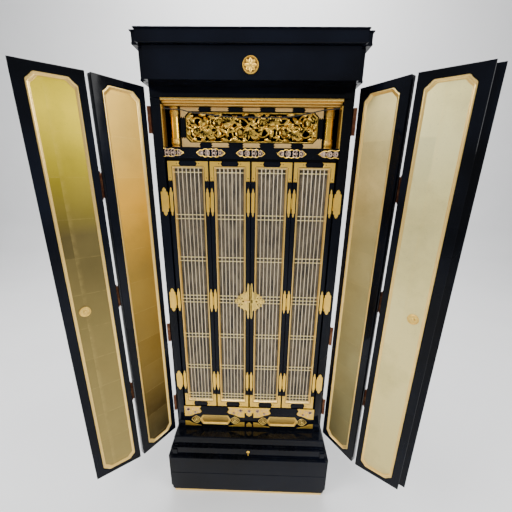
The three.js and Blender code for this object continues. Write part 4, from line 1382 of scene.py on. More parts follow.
# ---- the lower panel ----
@dataclass
class LowerPanel:
    """The panel below the inner doors: two gilt coffers, almond bosses and lobed mounts."""

    finishes: Finishes
    patterns: CarvingPatterns
    coffers: tuple[float, ...] = (-0.139, 0.137)
    bosses: tuple[float, ...] = (-0.218, -0.058, 0.059, 0.218)
    coffer_half: tuple[float, float, float] = (0.0655, 0.052, 0.0240)
    depth: float = 0.005
    proud: float = 0.0015
    sunk: float = 0.0185
    middle: float = 0.0005
    sheet: float = 0.0011

    def build(self) -> None:
        """Builds the panel."""
        self.low, self.high = span("lower_panel")
        self.face = self.low.y + self.proud
        self.level = (self.low.z + self.high.z) / 2 - self.sunk
        board = block("lower_panel_board", (self.low.x, self.face, self.low.z), self.high, 0.0006)
        self.sink(board)
        deliver(board, "cabinet", Slot.LACQUER, self.finishes.lacquer, "lower_panel")
        for i, x in enumerate(self.coffers):
            self.coffer(x, i)
        for i, x in enumerate(self.bosses):
            self.boss(x, i)
        self.mounts()

    def hexagon(self, x: float, inset: float) -> list[Point]:
        """A coffer's outline, drawn in by an inset."""
        point, shoulder, tall = self.coffer_half
        a, b, c = point - inset * 1.3, shoulder - inset * 0.5, tall - inset
        return [(x - a, self.level), (x - b, self.level - c), (x + b, self.level - c),
                (x + a, self.level), (x + b, self.level + c), (x - b, self.level + c)]

    def sink(self, board: Piece) -> None:
        """Cuts the coffers' recesses into the board."""
        clear = 0.01
        for x in self.coffers:
            cut(board, plate("cutter", self.hexagon(x, 0), self.face - clear, clear + self.depth))

    def coffer(self, x: float, i: int) -> None:
        """A stepped gilt tray that lines one recess."""
        face, foot = self.face, self.face + self.depth - 0.0002
        profile = ((0.0002, foot), (0.0002, face - 0.0004), (0.002, face - 0.0014), (0.004, face - 0.0006),
                   (0.005, face + 0.0014), (0.0062, face + 0.0006), (0.0072, face + 0.0030), (0.0080, foot))
        loops = [at_depth(self.hexagon(x, inset), y) for inset, y in profile]
        rim = wrap(f"coffer_rim_{i + 1}", loops, endless=True)
        floor = plate(f"coffer_{i + 1}", self.hexagon(x, 0.0068), face + 0.0034, 0.0014, 0.001)
        tall = self.coffer_half[2]
        # The floor's colour ramp, darker at its foot, is painted shade in the recess.
        finish = LeafPanel(f"coffer leaf {i}", foot=(0.50, 0.30, 0.06), head=(0.62, 0.40, 0.10),
                           low=self.level - tall, high=self.level + tall, stain=0.6, rough=0.26).make()
        deliver(rim, "cabinet", Slot.LEAF, self.finishes.pale, smooth=20)
        deliver(floor, "cabinet", Slot.LEAF, finish)

    def boss(self, x: float, i: int) -> None:
        """An almond boss: two pointed rings, one inside the other, round a raised eye."""
        outline = [(c * (1.0 - 0.2 * abs(s)), 0.92 * s * (1.0 - 0.22 * abs(c))) for c, s in around(32)]

        def raised(sizes: Sequence[Point]) -> list[list[tuple[float, float, float]]]:
            """The outline at each size, at its height above the board."""
            return [at_depth([(x + a * size, self.level + b * size) for a, b in outline], self.face - lift)
                    for size, lift in sizes]

        outer = ((0.0205, -0.0002), (0.0205, 0.0008), (0.0197, 0.0014), (0.0180, 0.0012), (0.0172, 0.0006),
                 (0.0172, -0.0002))
        inner = ((0.0122, -0.0002), (0.0122, 0.0009), (0.0115, 0.0014), (0.0100, 0.0012), (0.0092, 0.0006),
                 (0.0092, -0.0002))
        eye = ((0.0052, -0.0002), (0.0050, 0.0008), (0.0030, 0.0014), (0.0004, 0.0015))
        rings = [wrap("outer", raised(outer), endless=True), wrap("inner", raised(inner), endless=True),
                 wrap("eye", raised(eye), capped=True)]
        deliver(joined(f"almond_boss_{i + 1}", rings), "cabinet", Slot.GILT, self.finishes.pale, smooth=50)

    def mounts(self) -> None:
        """Forked mounts at the top, ogee ones at the foot, and in the middle a mount with its echo."""
        top, foot, edge = self.high.z, self.low.z, self.high.x
        upper = [(0.0, 0.0), (0.069, 0.0), (0.0625, -0.012), (0.064, -0.0135), (0.070, -0.026),
                 (0.064, -0.033), (0.052, -0.0365), (0.040, -0.041), (0.030, -0.047), (0.019, -0.0505),
                 (0.0, -0.051)]
        lower = [(0.0, 0.0), (0.068, 0.0), (0.052, 0.0045), (0.038, 0.0095), (0.028, 0.014),
                 (0.018, 0.0215), (0.0, 0.023)]
        slim = [(-0.0188, 0.0), (0.0188, 0.0), (0.0188, -0.027), (0.0118, -0.028), (0.0118, -0.037),
                (0.0, -0.046), (-0.0118, -0.037), (-0.0118, -0.028), (-0.0188, -0.027)]
        leaf = self.patterns.leaf("panel_leaf", width=0.5, lobes=2)
        flower = self.patterns.blossom("panel_flower")
        curls = ((0.016, -0.016, 0.0095), (0.036, -0.013, 0.0085), (0.055, -0.010, 0.006),
                 (0.022, -0.036, 0.008), (0.044, -0.029, 0.007), (0.058, -0.026, 0.005))
        echo = [(self.middle + 0.62 * x, foot - 0.5 * z) for x, z in slim]
        face = self.face - self.sheet
        anchors = [(root, sx) for s in BOTH_WAYS for root, sx in ((s * 0.0185, s), (s * edge, -s))]
        outlines = [moved(slim, self.middle, top), echo]
        outlines += [[(root + sx * x, level + z) for x, z in shape]
                     for root, sx in anchors for level, shape in ((top, upper), (foot, lower))]
        plates = [plate("mount", outline, face, self.sheet, 0.0002) for outline in outlines]
        relief = [set_at(flower, "centre", (self.middle, face, top - 0.017), 0.0075, 0)]
        for root, sx in anchors:
            for k, (x, z, size) in enumerate(curls):
                centre = (root + sx * x, top + z)
                start = 0.5 + k + (0 if sx > 0 else math.pi)
                curl = spiral(centre, start, sx * (-1) ** k * 1.1, size, size * 0.3, face, 12)
                relief.append(rod("curl", curl, 0.0009, lambda t: 1.0 - 0.3 * t, sides=1))
                pattern = flower if k in (0, 4) else leaf
                place = (centre[0], face, centre[1])
                relief.append(set_at(pattern, "sprig", place, size * 0.85, start + 2.2))
        discard(leaf, flower)
        deliver(joined("panel_mounts", plates), "cabinet", Slot.GILT, self.finishes.fitting)
        scrolls = joined("panel_mount_scrolls", relief)
        hold_depth(scrolls, self.low.y - 0.0008)
        deliver(scrolls, "cabinet", Slot.GILT, self.finishes.rosy, smooth=50)


# ---- posts and hinge plates ----
@dataclass
class HingePlate:
    """A tall gilt plate whose ends step in to a pointed finial."""

    width: float
    half_height: float = 0.0455
    thick: float = 0.0011

    def outline(self) -> list[Point]:
        """The plate's outline, from its straight edge outwards."""
        w, h = self.width, self.half_height
        side = [(0.0, 0.66), (0.1, 0.7), (0.26, 0.7), (0.2, 0.78), (0.27, 0.88), (0.5, 1.0),
                (0.73, 0.88), (0.8, 0.78), (0.74, 0.7), (0.9, 0.7), (1.0, 0.66)]
        upper = [(a * w, z * h) for a, z in side]
        return upper + [(x, -z) for x, z in reversed(upper)]

    def make(self, name: str, x: float, out: int, level: float, face: float) -> Piece:
        """The plate with its straight edge at x, going out to one side."""
        outline = [(x + out * a, level + z) for a, z in self.outline()]
        pieces = [plate(name, outline, face - self.thick, self.thick, 0.0003)]
        nail = [(0, 0), (0.0011, 0), (0.0008, 0.0005), (0, 0.0007)]
        for share in (-0.5, 0.0, 0.5):
            centre = (x + out * self.width * 0.5, face - self.thick, level + share * self.half_height)
            pieces.append(stud("nail", nail, centre, 8))
        return joined(name, pieces)


@dataclass
class Posts:
    """The front posts with their gilt hinge plates."""

    finishes: Finishes
    inner: float = 0.2653
    outer: float = 0.295
    foot_top: float = 0.321
    head_foot: float = 1.4935
    set_back: float = 0.002
    knuckle_x: float = 0.2628
    knuckle: float = 0.0015
    knuckle_half: float = 0.020
    plate_width: float = 0.0215

    def build(self) -> None:
        """Builds both posts."""
        for side in Side:
            self.post(side)

    def post(self, side: Side) -> None:
        """One post: shaft, foot block and head block, with three plates."""
        name, s = side.name.lower(), side.value
        low, high = span(f"post_{name}")
        front = low.y + self.set_back
        parts = (("shaft", front, low.z, high.z, 0.0012),
                 ("foot", front - 0.0015, low.z, self.foot_top, 0.001),
                 ("head", front - 0.0012, self.head_foot, high.z, 0.001))
        pieces = [block(part, (s * self.inner, y, z0), (s * self.outer, high.y, z1), bevel)
                  for part, y, z0, z1, bevel in parts]
        deliver(joined(f"post_{name}_shaft", pieces), "cabinet", Slot.LACQUER, self.finishes.lacquer,
                f"post_{name}")
        pin_y = joint("inner_left_swing")["pos_m"][1]
        hinge = HingePlate(self.plate_width)
        plates = []
        for level in HINGE_LEVELS:
            plates.append(hinge.make("plate", s * (self.inner - 0.0012), s, level, front))
            plates.append(barrel("knuckle", (s * self.knuckle_x, pin_y, level), self.knuckle,
                                 self.knuckle_half))
        deliver(joined(f"post_{name}_plates", plates), "cabinet", Slot.GILT, self.finishes.fitting)


# ---- inner doors ----
@dataclass
class InnerDoor:
    """One lattice leaf: black frame, gilt bead, lattice, corner plates and hinge plates."""

    finishes: Finishes
    index: int
    half_opening: float = 0.260
    outer_edge: float = 0.2604
    seam: float = 0.0006
    middle: float = 0.0008
    thick: float = 0.016
    stile: float = 0.015
    bottom_rail: float = 0.022
    bead: float = 0.0066
    bars: int = 6
    bar: float = 0.0026
    levels: tuple[float, ...] = (0.042, 0.1876, 0.3262, 0.4760, 0.6255, 0.7701, 0.9155)
    gap: float = 0.0131
    corner_thick: float = 0.0010
    hinge_width: float = 0.0096
    hinge_in: float = 0.0019
    knuckle: float = 0.0012
    knuckle_half: float = 0.016

    def build(self) -> None:
        """Builds the leaf's pieces."""
        k = self.index
        self.name = f"inner_door_{k + 1}"
        quarter = self.half_opening / 2
        start = -self.half_opening + k * quarter
        self.x0 = -self.outer_edge if k == 0 else start + (self.middle if k == 2 else self.seam)
        self.x1 = self.outer_edge if k == 3 else start + quarter - (self.middle if k == 1 else self.seam)
        low, high = span(self.name)
        self.z0, self.z1 = low.z, high.z
        self.front = high.y - self.thick
        self.body = f"inner_leaf_{k + 1}"
        self.frame()
        self.beading()
        self.lattice()
        self.corners()
        self.hinges()

    def window(self, inset: float = 0.0) -> list[Point]:
        """The lattice's window, drawn in by an inset."""
        return oblong((self.x0 + self.stile + inset, self.z0 + self.bottom_rail + inset),
                      (self.x1 - self.stile - inset, self.z1 - self.stile - inset))

    def frame(self) -> None:
        """The lacquered stiles and rails."""
        edge = 0.0008
        back, eased = self.front + self.thick, self.front + edge
        loops = [at_depth(oblong((self.x0 + inset, self.z0 + inset), (self.x1 - inset, self.z1 - inset)), y)
                 for inset, y in ((0, back), (0, eased), (edge, self.front))]
        loops += [at_depth(self.window(inset), y)
                  for inset, y in ((-edge, self.front), (0, eased), (0, back))]
        piece = wrap(f"{self.name}_frame", loops, endless=True)
        deliver(piece, self.body, Slot.LACQUER, self.finishes.lacquer, self.name)

    def beading(self) -> None:
        """The gilt bead round the window, stepping down to the lattice."""
        w = self.bead
        loops = [at_depth(self.window(inset), self.front + y) for inset, y in
                 ((0.0, 0.0104), (0.0, 0.0004), (0.0006, -0.0004), (w * 0.3, -0.0004), (w * 0.4, 0.0012),
                  (w * 0.5, 0.0010), (w * 0.95, 0.0056), (w, 0.0104))]
        bead = wrap(f"{self.name}_bead", loops, endless=True)
        deliver(bead, self.body, Slot.LEAF, self.finishes.bead, smooth=20)

    def lattice(self) -> None:
        """Six uprights, and cross slats in pairs or in threes."""
        (x0, z0), _, (x1, z1), _ = self.window(self.bead * 0.8)
        pitch = (x1 - x0) / (self.bars + 1)
        middle = x0 + pitch
        uprights = block(f"{self.name}_uprights", (middle - self.bar / 2, self.front + 0.003, z0),
                         (middle + self.bar / 2, self.front + 0.0064, z1), 0.0009)
        apply_modifier(uprights, "ARRAY", count=self.bars, use_relative_offset=False,
                       use_constant_offset=True, constant_offset_displace=(pitch, 0, 0))
        half, first_up = self.bar * 0.9 / 2, 0.004
        slats = []
        for i, level in enumerate(self.levels):
            offsets = (-self.gap, 0, self.gap) if i in (0, 3) else (-self.gap / 2, self.gap / 2)
            for offset in offsets:
                z = self.z0 + level + offset + (first_up if i == 0 else 0)
                slats.append(block("slat", (x0, self.front + 0.0024, z - half),
                                   (x1, self.front + 0.0060, z + half), 0.0006))
        deliver(uprights, self.body, Slot.GILT, self.finishes.lattice)
        deliver(joined(f"{self.name}_slats", slats), self.body, Slot.GILT, self.finishes.slats)

    def corner(self, sx: int, sz: int) -> tuple[Piece, list[Piece]]:
        """One L-shaped corner plate with forked ends, and its two nail heads."""
        x = self.x0 if sx > 0 else self.x1
        z = self.z0 if sz > 0 else self.z1
        wide, rail = self.stile - 0.0012, (self.bottom_rail if sz > 0 else self.stile) - 0.0012
        along, up, fork = 0.040, 0.060, 0.0042
        e = 0.0024
        shape = [(e, 0.0005), (along, 0.0005), (along - fork, rail * 0.5), (along, rail),
                 (wide + 0.003, rail), (wide, rail + 0.003), (wide, up), (wide * 0.72, up - fork),
                 (wide * 0.55, up), (wide * 0.38, up - fork), (e, up)]
        outline = [(x + sx * a, z + sz * b) for a, b in shape]
        face = self.front - self.corner_thick
        nail = [(0, 0), (0.0019, 0), (0.0013, 0.0003), (0, 0.0005)]
        places = ((along - 0.0095, rail * 0.5), (wide * 0.55, up - 0.0105))
        sheet = plate("corner", outline, face, self.corner_thick, 0.0002)
        return sheet, [stud("nail", nail, (x + sx * a, face, z + sz * b), 10) for a, b in places]

    def corners(self) -> None:
        """All four corner plates, and their dark nails."""
        made = [self.corner(sx, sz) for sx in BOTH_WAYS for sz in BOTH_WAYS]
        plates = joined(f"{self.name}_corners", [sheet for sheet, _ in made])
        deliver(plates, self.body, Slot.GILT, self.finishes.fitting)
        nails = joined(f"{self.name}_nails", [nail for _, nails in made for nail in nails])
        deliver(nails, self.body, Slot.GILT, self.finishes.punched)

    def hinges(self) -> None:
        """The narrow plates beside each seam, and the knuckles that this leaf carries."""
        outer = self.index in (0, INNER_LEAVES - 1)
        side = -1 if self.index < INNER_LEAVES / 2 else 1
        pin_y = joint("inner_left_fold")["pos_m"][1]
        hinge = HingePlate(self.hinge_width)
        pieces = []
        for level in HINGE_LEVELS:
            for x, out in ((self.x0, 1), (self.x1, -1)):
                on_latch = level == LATCH_LEVEL and abs(x) < self.stile
                if not on_latch:
                    pieces.append(hinge.make("plate", x + out * self.hinge_in, out, level, self.front))
            if outer:
                place = (side * self.half_opening / 2, pin_y, level)
                pieces.append(barrel("knuckle", place, self.knuckle, self.knuckle_half))
        deliver(joined(f"{self.name}_hinges", pieces), self.body, Slot.GILT, self.finishes.fitting)


@dataclass
class Latch:
    """The lozenge plates across the middle seam, with their staples and the sliding bolt."""

    finishes: Finishes
    level: float = LATCH_LEVEL
    thick: float = 0.0011
    bar_thick: float = 0.0012
    bar_half: float = 0.003
    staple_half: float = 0.0068
    staple_gap: float = 0.0042

    def build(self) -> None:
        """Builds both halves and the bolt."""
        for side in Side:
            self.plate_half(side)
        self.bolt()

    def plate_half(self, side: Side) -> None:
        """Half the lozenge: a jagged edge, two pierced flowers, scrolls and a spear along the seam."""
        s, name = side.value, side.name.lower()
        low, high = span(f"latch_plate_{name}")
        back = high.y
        face = back - self.thick
        upper = [(0.0024, 0.0520), (0.0030, 0.0570), (0.0026, 0.0600), (0.0034, 0.0665), (0.0058, 0.0700),
                 (0.0082, 0.0665), (0.0090, 0.0600), (0.0086, 0.0570), (0.0098, 0.0535), (0.0098, 0.0400),
                 (0.0130, 0.0345), (0.0180, 0.0325), (0.0225, 0.0370), (0.0235, 0.0305), (0.0290, 0.0265),
                 (0.0350, 0.0305), (0.0340, 0.0225), (0.0380, 0.0185), (0.0445, 0.0205), (0.0420, 0.0120),
                 (0.0450, 0.0080), (0.0505, 0.0085), (0.0490, 0.0035), (0.0545, 0.0)]
        outline = upper + [(x, -z) for x, z in reversed(upper[:-1])]
        sheet = plate("sheet", [(s * x, self.level + z) for x, z in outline], face, self.thick, 0.0003)
        petals = [(x + 0.0050 * math.cos(a), z + 0.0050 * math.sin(a), 0.0024)
                  for x, z in ((0.0330, 0.0120), (0.0330, -0.0120)) for a in (0.0, 1.571, 3.142, 4.712)]
        for x, z, r in (*petals, (0.0435, 0.0042, 0.0020), (0.0435, -0.0042, 0.0020), (0.0235, 0.0, 0.0034)):
            hole = [(s * x + r * c * 1.25, self.level + z + r * rise) for c, rise in around(10)]
            cut(sheet, plate("cutter", hole, face - 0.004, 0.01))
        pieces = [sheet]
        for sz in BOTH_WAYS:
            for x, z, size, turns in ((0.0200, 0.0240, 0.0075, 1.2), (0.0180, 0.0110, 0.0050, 1.1)):
                centre = (s * x, self.level + sz * z)
                curl = spiral(centre, 0.8 * sz, s * sz * turns, size, size * 0.2, face, 14)
                pieces.append(rod("curl", curl, 0.0008, lambda t: 1.0 - 0.3 * t, sides=1))
            spear = [(s * 0.0060, face, self.level + sz * z) for z in (0.012, 0.03, 0.05, 0.064)]
            pieces.append(rod("spear", spear, 0.0016, lambda t: 1.0 - 0.6 * t, sides=1))
        pieces.append(self.staple(side))
        relief = joined(f"latch_{name}", pieces)
        hold_depth(relief, low.y, back)
        body = "inner_leaf_2" if s < 0 else "inner_leaf_3"
        nodes = [f"latch_plate_{name}"] + (["latch_staple_right"] if s > 0 else [])
        deliver(relief, body, Slot.GILT, self.finishes.pale, *nodes, smooth=50)

    def staple(self, side: Side) -> Piece:
        """The bridge that the bolt runs through."""
        s = side.value
        low, high = span("latch_staple_right")
        out, near = self.staple_half, self.staple_gap
        legs = [block("leg", (s * low.x, low.y, self.level + sz * near),
                      (s * high.x, high.y + 0.0004, self.level + sz * out), 0.0005) for sz in BOTH_WAYS]
        bridge = block("bridge", (s * low.x, low.y, self.level - out),
                       (s * high.x, low.y + 0.0006, self.level + out), 0.0002)
        return joined("staple", [*legs, bridge])

    def bolt(self) -> None:
        """The round-nosed bar with its knob."""
        low, high = span("latch_bolt")
        bar = block("bar", (low.x, high.y - self.bar_thick, self.level - self.bar_half),
                    (high.x, high.y, self.level + self.bar_half), 0.0005)
        reach = high.y - low.y
        profile = [(0, 0.0002), (0.0014, 0.0002), (0.0012, 0.0010), (0.0017, 0.0019), (0.0009, reach),
                   (0, reach)]
        knob = stud("knob", profile, (low.x + 0.0017, high.y, self.level), 16)
        deliver(joined("latch_bolt_bar", [bar, knob]), "bolt", Slot.GILT, self.finishes.peach, "latch_bolt")


# ---- outer doors ----
@dataclass
class OuterLeaf:
    """One leaf of a folding outer door, built shut and then swung to where it stands."""

    finishes: Finishes
    side: Side
    outboard: bool
    gilding: LeafPanel
    width: float = 0.143
    thick: float = 0.020
    ring: float = 0.007
    edge: float = 0.0032
    fold_along: float = 0.1492
    fold_edge: float = 0.003
    panel_from: float = 0.017
    panel_to: float = 0.119
    panel_bottom: float = 0.302
    panel_top: float = 1.521
    cusp: float = 0.020
    field_back: float = 0.006
    knuckle: float = 0.0018
    knuckle_half: float = 0.038
    fold_levels: tuple[float, ...] = (0.570, 0.935, 1.270)
    pull_along: float = 0.088
    pull_level: float = 0.915
    pull_radius: float = 0.0148

    def build(self) -> None:
        """Builds the leaf's pieces and swings them open."""
        hand = self.side.name.lower()
        which = "outboard" if self.outboard else "inboard"
        self.node = f"outer_door_{hand}_{which}"
        self.body = f"outer_{hand}_{'far' if self.outboard else 'near'}"
        self.pin = Vector(joint(f"outer_{hand}_swing")["pos_m"])
        self.place = swung(f"outer_{hand}_swing", self.pin)
        self.fold_pin = self.place.inverted() @ Vector(joint(f"outer_{hand}_fold")["pos_m"])
        if self.outboard:
            self.place = self.place @ swung(f"outer_{hand}_fold", self.fold_pin)
        self.start = self.fold_along + self.fold_edge if self.outboard else self.edge
        self.face = self.pin.y - 0.001
        low, high = span(self.node)
        self.z0, self.z1 = low.z, high.z
        self.board()
        self.gilded_panel()
        if self.outboard:
            self.ring_pull()
        else:
            self.fold_hinges()

    def x(self, along: float) -> float:
        """The x of a distance along the shut door from its pin."""
        return self.pin.x - self.side.value * along

    def corners(self) -> tuple[Point, Point]:
        """The panel's lower and upper corners while the door is shut."""
        a, b = self.x(self.start + self.panel_from), self.x(self.start + self.panel_to)
        return (min(a, b), self.panel_bottom), (max(a, b), self.panel_top)

    def stand(self, piece: Piece) -> Piece:
        """Swings a piece from shut to where it stands."""
        piece.data.transform(self.place)
        return piece

    def board(self) -> None:
        """The lacquered board with its raised frame on the gilt side."""
        a, b = self.x(self.start), self.x(self.start + self.width)
        x0, x1 = min(a, b), max(a, b)
        back = self.face - self.thick
        sheet = block("sheet", (x0, back, self.z0), (x1, self.face - self.ring, self.z1), 0.0012)
        low, high = self.corners()
        eased, foot = 0.001, self.face - self.ring
        edge = self.face - eased
        loops = [at_depth(squared((x0 + inset, self.z0 + inset), (x1 - inset, self.z1 - inset),
                                  self.cusp + 0.016), y)
                 for inset, y in ((0, foot), (0, edge), (eased, self.face))]
        loops += [at_depth(cusped(low, high, self.cusp, inset), y)
                  for inset, y in ((-eased, self.face), (0, edge), (0, foot))]
        raised = wrap("raised", loops, endless=True)
        piece = self.stand(joined(f"{self.node}_board", [sheet, raised]))
        deliver(piece, self.body, Slot.LACQUER, self.finishes.lacquer, self.node)

    def gilded_panel(self) -> None:
        """The gold-leafed field and the stepped moulding round it."""
        low, high = self.corners()
        field_y = self.face - self.field_back
        panel = plate(f"{self.node}_panel", cusped(low, high, self.cusp, 0.004), field_y, -0.0008)
        deliver(self.stand(panel), self.body, Slot.LEAF, self.gilding.make())
        steps = ((0.0002, -0.0065), (0.0002, -0.0012), (0.0010, -0.0004), (0.0026, -0.0004),
                 (0.0034, -0.0012), (0.0036, -0.0026), (0.0050, -0.0030), (0.0064, -0.0038),
                 (0.0068, -0.0050), (0.0078, -0.0052), (0.0080, -0.0065))
        loops = [at_depth(cusped(low, high, self.cusp, inset), self.face + y) for inset, y in steps]
        moulding = wrap(f"{self.node}_moulding", loops, endless=True)
        deliver(self.stand(moulding), self.body, Slot.LEAF, self.finishes.bead, smooth=20)

    def fold_hinges(self) -> None:
        """Three browned butt hinges on the lacquered side, at the fold."""
        black = self.face - self.thick
        x, s = self.fold_pin.x, self.side.value
        pieces = []
        for level in self.fold_levels:
            pieces.append(barrel("knuckle", (x, self.fold_pin.y, level), self.knuckle, self.knuckle_half, 14))
            pieces.append(block("flap", (x + s * 0.024, black - 0.0019, level - 0.034),
                                (x + s * 0.0012, black + 0.0002, level + 0.034), 0.0004))
        piece = self.stand(joined(f"{self.node}_hinges", pieces))
        deliver(piece, self.body, Slot.BRONZE, self.finishes.bronze)

    def ring_pull(self) -> None:
        """A rose plate with a braided rim, a ring and a boss."""
        hand = self.side.name.lower()
        centre = (self.x(self.start + self.pull_along), self.face - self.field_back, self.pull_level)
        x, y, z = centre
        radius, steps, twists = self.pull_radius, 120, 12
        rose = [(0, 0.0), (radius, 0.0), (radius, -0.0009), (radius - 0.0016, -0.0016),
                (radius - 0.0034, -0.0002), (radius * 0.5, -0.0004), (0, -0.0015)]
        boss = [(0, 0), (0.005, 0), (0.0048, -0.0022), (0.003, -0.0036), (0, -0.0040)]
        pieces = [stud("rose", rose, centre, 40)]
        for strand in range(2):
            points = []
            for i, (c, s) in enumerate(around(steps)):
                twist = math.tau * i / steps * twists + math.pi * strand
                r = radius - 0.0016 + 0.0009 * math.cos(twist)
                points.append((x + r * c, y + 0.0028 + 0.0008 * math.sin(twist), z + r * s))
            pieces.append(rod("strand", points, 0.0009, sides=1, closed=True))
        pieces.append(stud("boss", boss, centre, 20))
        piece = self.stand(joined(f"ring_pull_{hand}_rose", pieces))
        deliver(piece, self.body, Slot.GILT, self.finishes.pale, f"ring_pull_{hand}", smooth=50)


# ---- small things ----
@dataclass
class DrawerPull:
    """A small rose with a hanging drop."""

    finishes: Finishes
    rose_radius: float = 0.007
    rose_thick: float = 0.0016
    petals: int = 8

    def build(self) -> None:
        """Builds the pull."""
        low, high = span("drawer_pull")
        x = (low.x + high.x) / 2
        back, top = high.y, high.z - self.rose_radius
        outline = moved(lobed(self.rose_radius, self.petals, 0.16), x, top)
        rose = plate("rose", outline, back - self.rose_thick, self.rose_thick, 0.0003)
        dome = stud("dome", [(0, 0), (0.0034, 0), (0.0026, 0.0018), (0, 0.0026)], (x, back - 0.0014, top), 16)
        profile = [(0, 0), (0.0016, 0.0008), (0.0021, 0.003), (0.0014, 0.0068), (0.0008, 0.0088),
                   (0.0011, 0.0108), (0, 0.0118)]
        drop = turned("drop", profile, (x, back - 0.0028, low.z + 0.0004), 16)
        deliver(joined("drawer_pull_rose", [rose, dome, drop]), "drawer_box", Slot.GILT,
                self.finishes.fitting,
                "drawer_pull", smooth=50)


@dataclass
class HungCord:
    """The dark cord that hangs slack across the transom, between two gilt hooks."""

    finishes: Finishes
    radius: float = 0.0015
    route: tuple[Point, ...] = (
        (-0.2584, 1.489), (-0.250, 1.4872), (-0.228, 1.4859), (-0.206, 1.484), (-0.182, 1.4785),
        (-0.165, 1.4768), (-0.147, 1.4755), (-0.112, 1.4705), (-0.069, 1.467), (-0.037, 1.4662),
        (-0.005, 1.4659), (0.025, 1.4659), (0.055, 1.466), (0.102, 1.4675), (0.133, 1.471),
        (0.161, 1.476), (0.187, 1.4815), (0.212, 1.4865), (0.235, 1.4892), (0.2584, 1.4915))
    door_plane: float = -0.107
    forward: float = 0.004

    def build(self) -> None:
        """Builds the cord and the hooks."""
        y = self.door_plane + self.forward
        curve = round_curve("hung_cord", self.radius, 3)
        curve.resolution_u = 6
        spline = curve.splines.new("BEZIER")
        spline.bezier_points.add(len(self.route) - 1)
        for knot, (x, z) in zip(spline.bezier_points, self.route):
            knot.co = (x, y, z)
            knot.handle_left_type = knot.handle_right_type = "AUTO"
        piece = bpy.data.objects.new("hung_cord", curve)
        link(piece)
        curve.materials.append(self.finishes.cord)
        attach(piece, "cabinet")
        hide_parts("cord")
        for side in Side:
            self.hook(side)

    def hook(self, side: Side) -> None:
        """A small turned stud that the cord ends in."""
        name, s = side.name.lower(), side.value
        low, high = span(f"cord_hook_{name}")
        _, y, z = (low + high) / 2
        root, width, radius = high.x if s > 0 else low.x, high.x - low.x, (high.z - low.z) / 2
        profile = ((0.0, 0.0), (1.0, 0.0), (1.0, 0.3), (0.7, 0.5), (0.8, 0.8), (0.5, 1.0), (0.0, 1.0))
        loops = [[(root - s * along * width, y + share * radius * c, z + share * radius * rise)
                  for c, rise in around(16)] for share, along in profile]
        deliver(wrap(f"cord_stud_{name}", loops, capped=True), "cabinet", Slot.GILT, self.finishes.fitting,
                f"cord_hook_{name}")


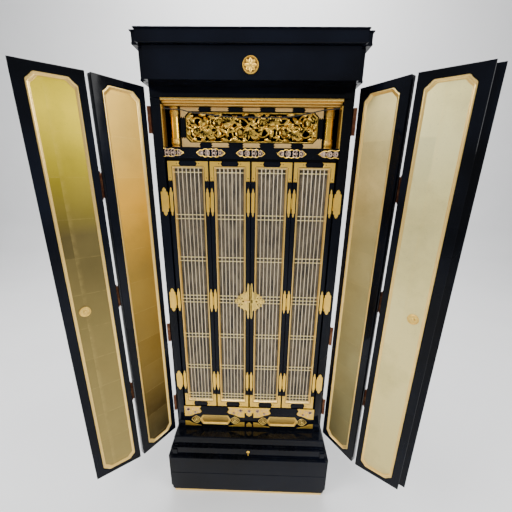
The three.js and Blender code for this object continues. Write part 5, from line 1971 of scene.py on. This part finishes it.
# ---- studio ----
@dataclass
class Studio:
    """A pale floor, soft light and a camera that looks slightly down on the cabinet."""

    eye: tuple[float, float, float] = (0.0366, -0.9817, 1.3054)
    yaw: float = -0.0193
    pitch: float = 0.2934
    roll: float = -0.0142
    lens: float = 18.99
    sensor: float = 36.0
    lamps: tuple[tuple[str, tuple[float, ...], tuple[float, ...], float, float], ...] = (
        ("key", (-2.9, -1.5, 3.2), (0, 0, 0.9), 1.6, 125), ("fill", (2.9, -1.7, 2.4), (0, 0, 0.9), 1.8, 85),
        ("top", (0.0, -2.2, 4.2), (0, 0, 0.8), 1.2, 55),
        ("backdrop", (0.0, 1.4, 4.4), (0, 3.0, 0.6), 3.0, 230))

    def build(self) -> None:
        """Builds the stage, the lights and the camera."""
        self.floor()
        self.world()
        for lamp in self.lamps:
            self.lamp(*lamp)
        self.camera()

    def floor(self) -> None:
        """The pale floor, curved up behind as a backdrop."""
        reach = 7.0
        profile = [(-reach, 0.0), (2.4, 0.0), (3.0, 0.12), (3.4, 0.5), (3.5, 1.2), (3.5, 6.0)]
        loops = [[(x, y, z) for x in (-reach, reach)] for y, z in profile]
        backdrop = wrap("studio_floor", loops, closed=False)
        backdrop.data.materials.append(StudioFloor().make())
        take(backdrop)
        bpy.ops.object.shade_smooth()

    def world(self) -> None:
        """An even pale surround."""
        world = bpy.data.worlds.new("studio")
        world.use_nodes = True
        surround = world.node_tree.nodes["Background"]
        surround.inputs["Color"].default_value = (0.93, 0.95, 1.0, 1.0)
        surround.inputs["Strength"].default_value = 0.55
        bpy.context.scene.world = world

    def lamp(self, name: str, place: Sequence[float], aim: Sequence[float], size: float,
             power: float) -> None:
        """A square area lamp that faces a point."""
        light = bpy.data.lights.new(name, "AREA")
        light.energy = power
        light.size = size
        lamp = bpy.data.objects.new(name, light)
        lamp.location = place
        lamp.rotation_euler = (Vector(aim) - Vector(place)).to_track_quat("-Z", "Y").to_euler()
        link(lamp)

    def camera(self) -> None:
        """The camera, set by its heading, its tilt and a slight roll."""
        level_share = math.cos(self.pitch)
        ahead = Vector((math.sin(self.yaw) * level_share, math.cos(self.yaw) * level_share,
                        -math.sin(self.pitch)))
        right = Vector((math.cos(self.yaw), -math.sin(self.yaw), 0.0))
        down = ahead.cross(right)
        level = math.cos(self.roll) * right + math.sin(self.roll) * down
        plumb = -math.sin(self.roll) * right + math.cos(self.roll) * down
        lens = bpy.data.cameras.new("camera")
        lens.lens = self.lens
        lens.sensor_width = self.sensor
        lens.clip_start = 0.02
        camera = bpy.data.objects.new("camera", lens)
        turn = Matrix((level, -plumb, -ahead)).transposed().to_4x4()
        camera.matrix_world = Matrix.Translation(self.eye) @ turn
        link(camera)
        bpy.context.scene.camera = camera


def outer_leaves(finishes: Finishes) -> list[OuterLeaf]:
    """The four outer leaves, each with its own painted shade and highlight on the gilding."""
    full_shade = (0.0, 0.0, 0.0)
    # Each leaf's foot-to-head ramp and highlight band are painted shade and painted reflection, set for the
    # way that leaf faces; the black end is painted full shade.
    left_near = LeafPanel("leaf left inboard", foot=full_shade, head=(0.66, 0.40, 0.07), painted_highlight=(0.98, 0.50, 0.035),
                          highlight_at=1.20, highlight_reach=0.20, turn=54)
    left_far = LeafPanel("leaf left outboard", foot=(0.34, 0.26, 0.09), head=full_shade, painted_highlight=(1.0, 0.76, 0.03),
                         highlight_at=1.44, highlight_reach=0.30, highlight_share=0.95, turn=36)
    right_near = LeafPanel("leaf right inboard", foot=(0.16, 0.14, 0.06), head=(0.72, 0.61, 0.27),
                           painted_highlight=(0.86, 0.72, 0.32), turn=-55, stain=0.5)
    right_far = LeafPanel("leaf right outboard", foot=(0.74, 0.61, 0.25), head=(1.0, 0.88, 0.38),
                          painted_highlight=(1.0, 0.92, 0.46), highlight_at=1.40, turn=-35, stain=0.4)
    return [OuterLeaf(finishes, Side.LEFT, False, left_near), OuterLeaf(finishes, Side.LEFT, True, left_far),
            OuterLeaf(finishes, Side.RIGHT, False, right_near),
            OuterLeaf(finishes, Side.RIGHT, True, right_far)]


def main() -> None:
    """Builds the studio and every sub-assembly in order."""
    logging.basicConfig(level=logging.INFO, format="%(message)s")
    Studio().build()
    finishes = Finishes()
    patterns = CarvingPatterns()
    HungCord(finishes).build()
    Carcass(finishes).build()
    Medallion(finishes).build()
    TransomCarving(finishes, patterns).build()
    TransomTrim(finishes).build()
    Mounts(finishes, patterns).build()
    LowerPanel(finishes, patterns).build()
    Posts(finishes).build()
    for index in range(INNER_LEAVES):
        InnerDoor(finishes, index).build()
    Latch(finishes).build()
    for leaf in outer_leaves(finishes):
        leaf.build()
    DrawerPull(finishes).build()


if __name__ == "__main__":
    main()
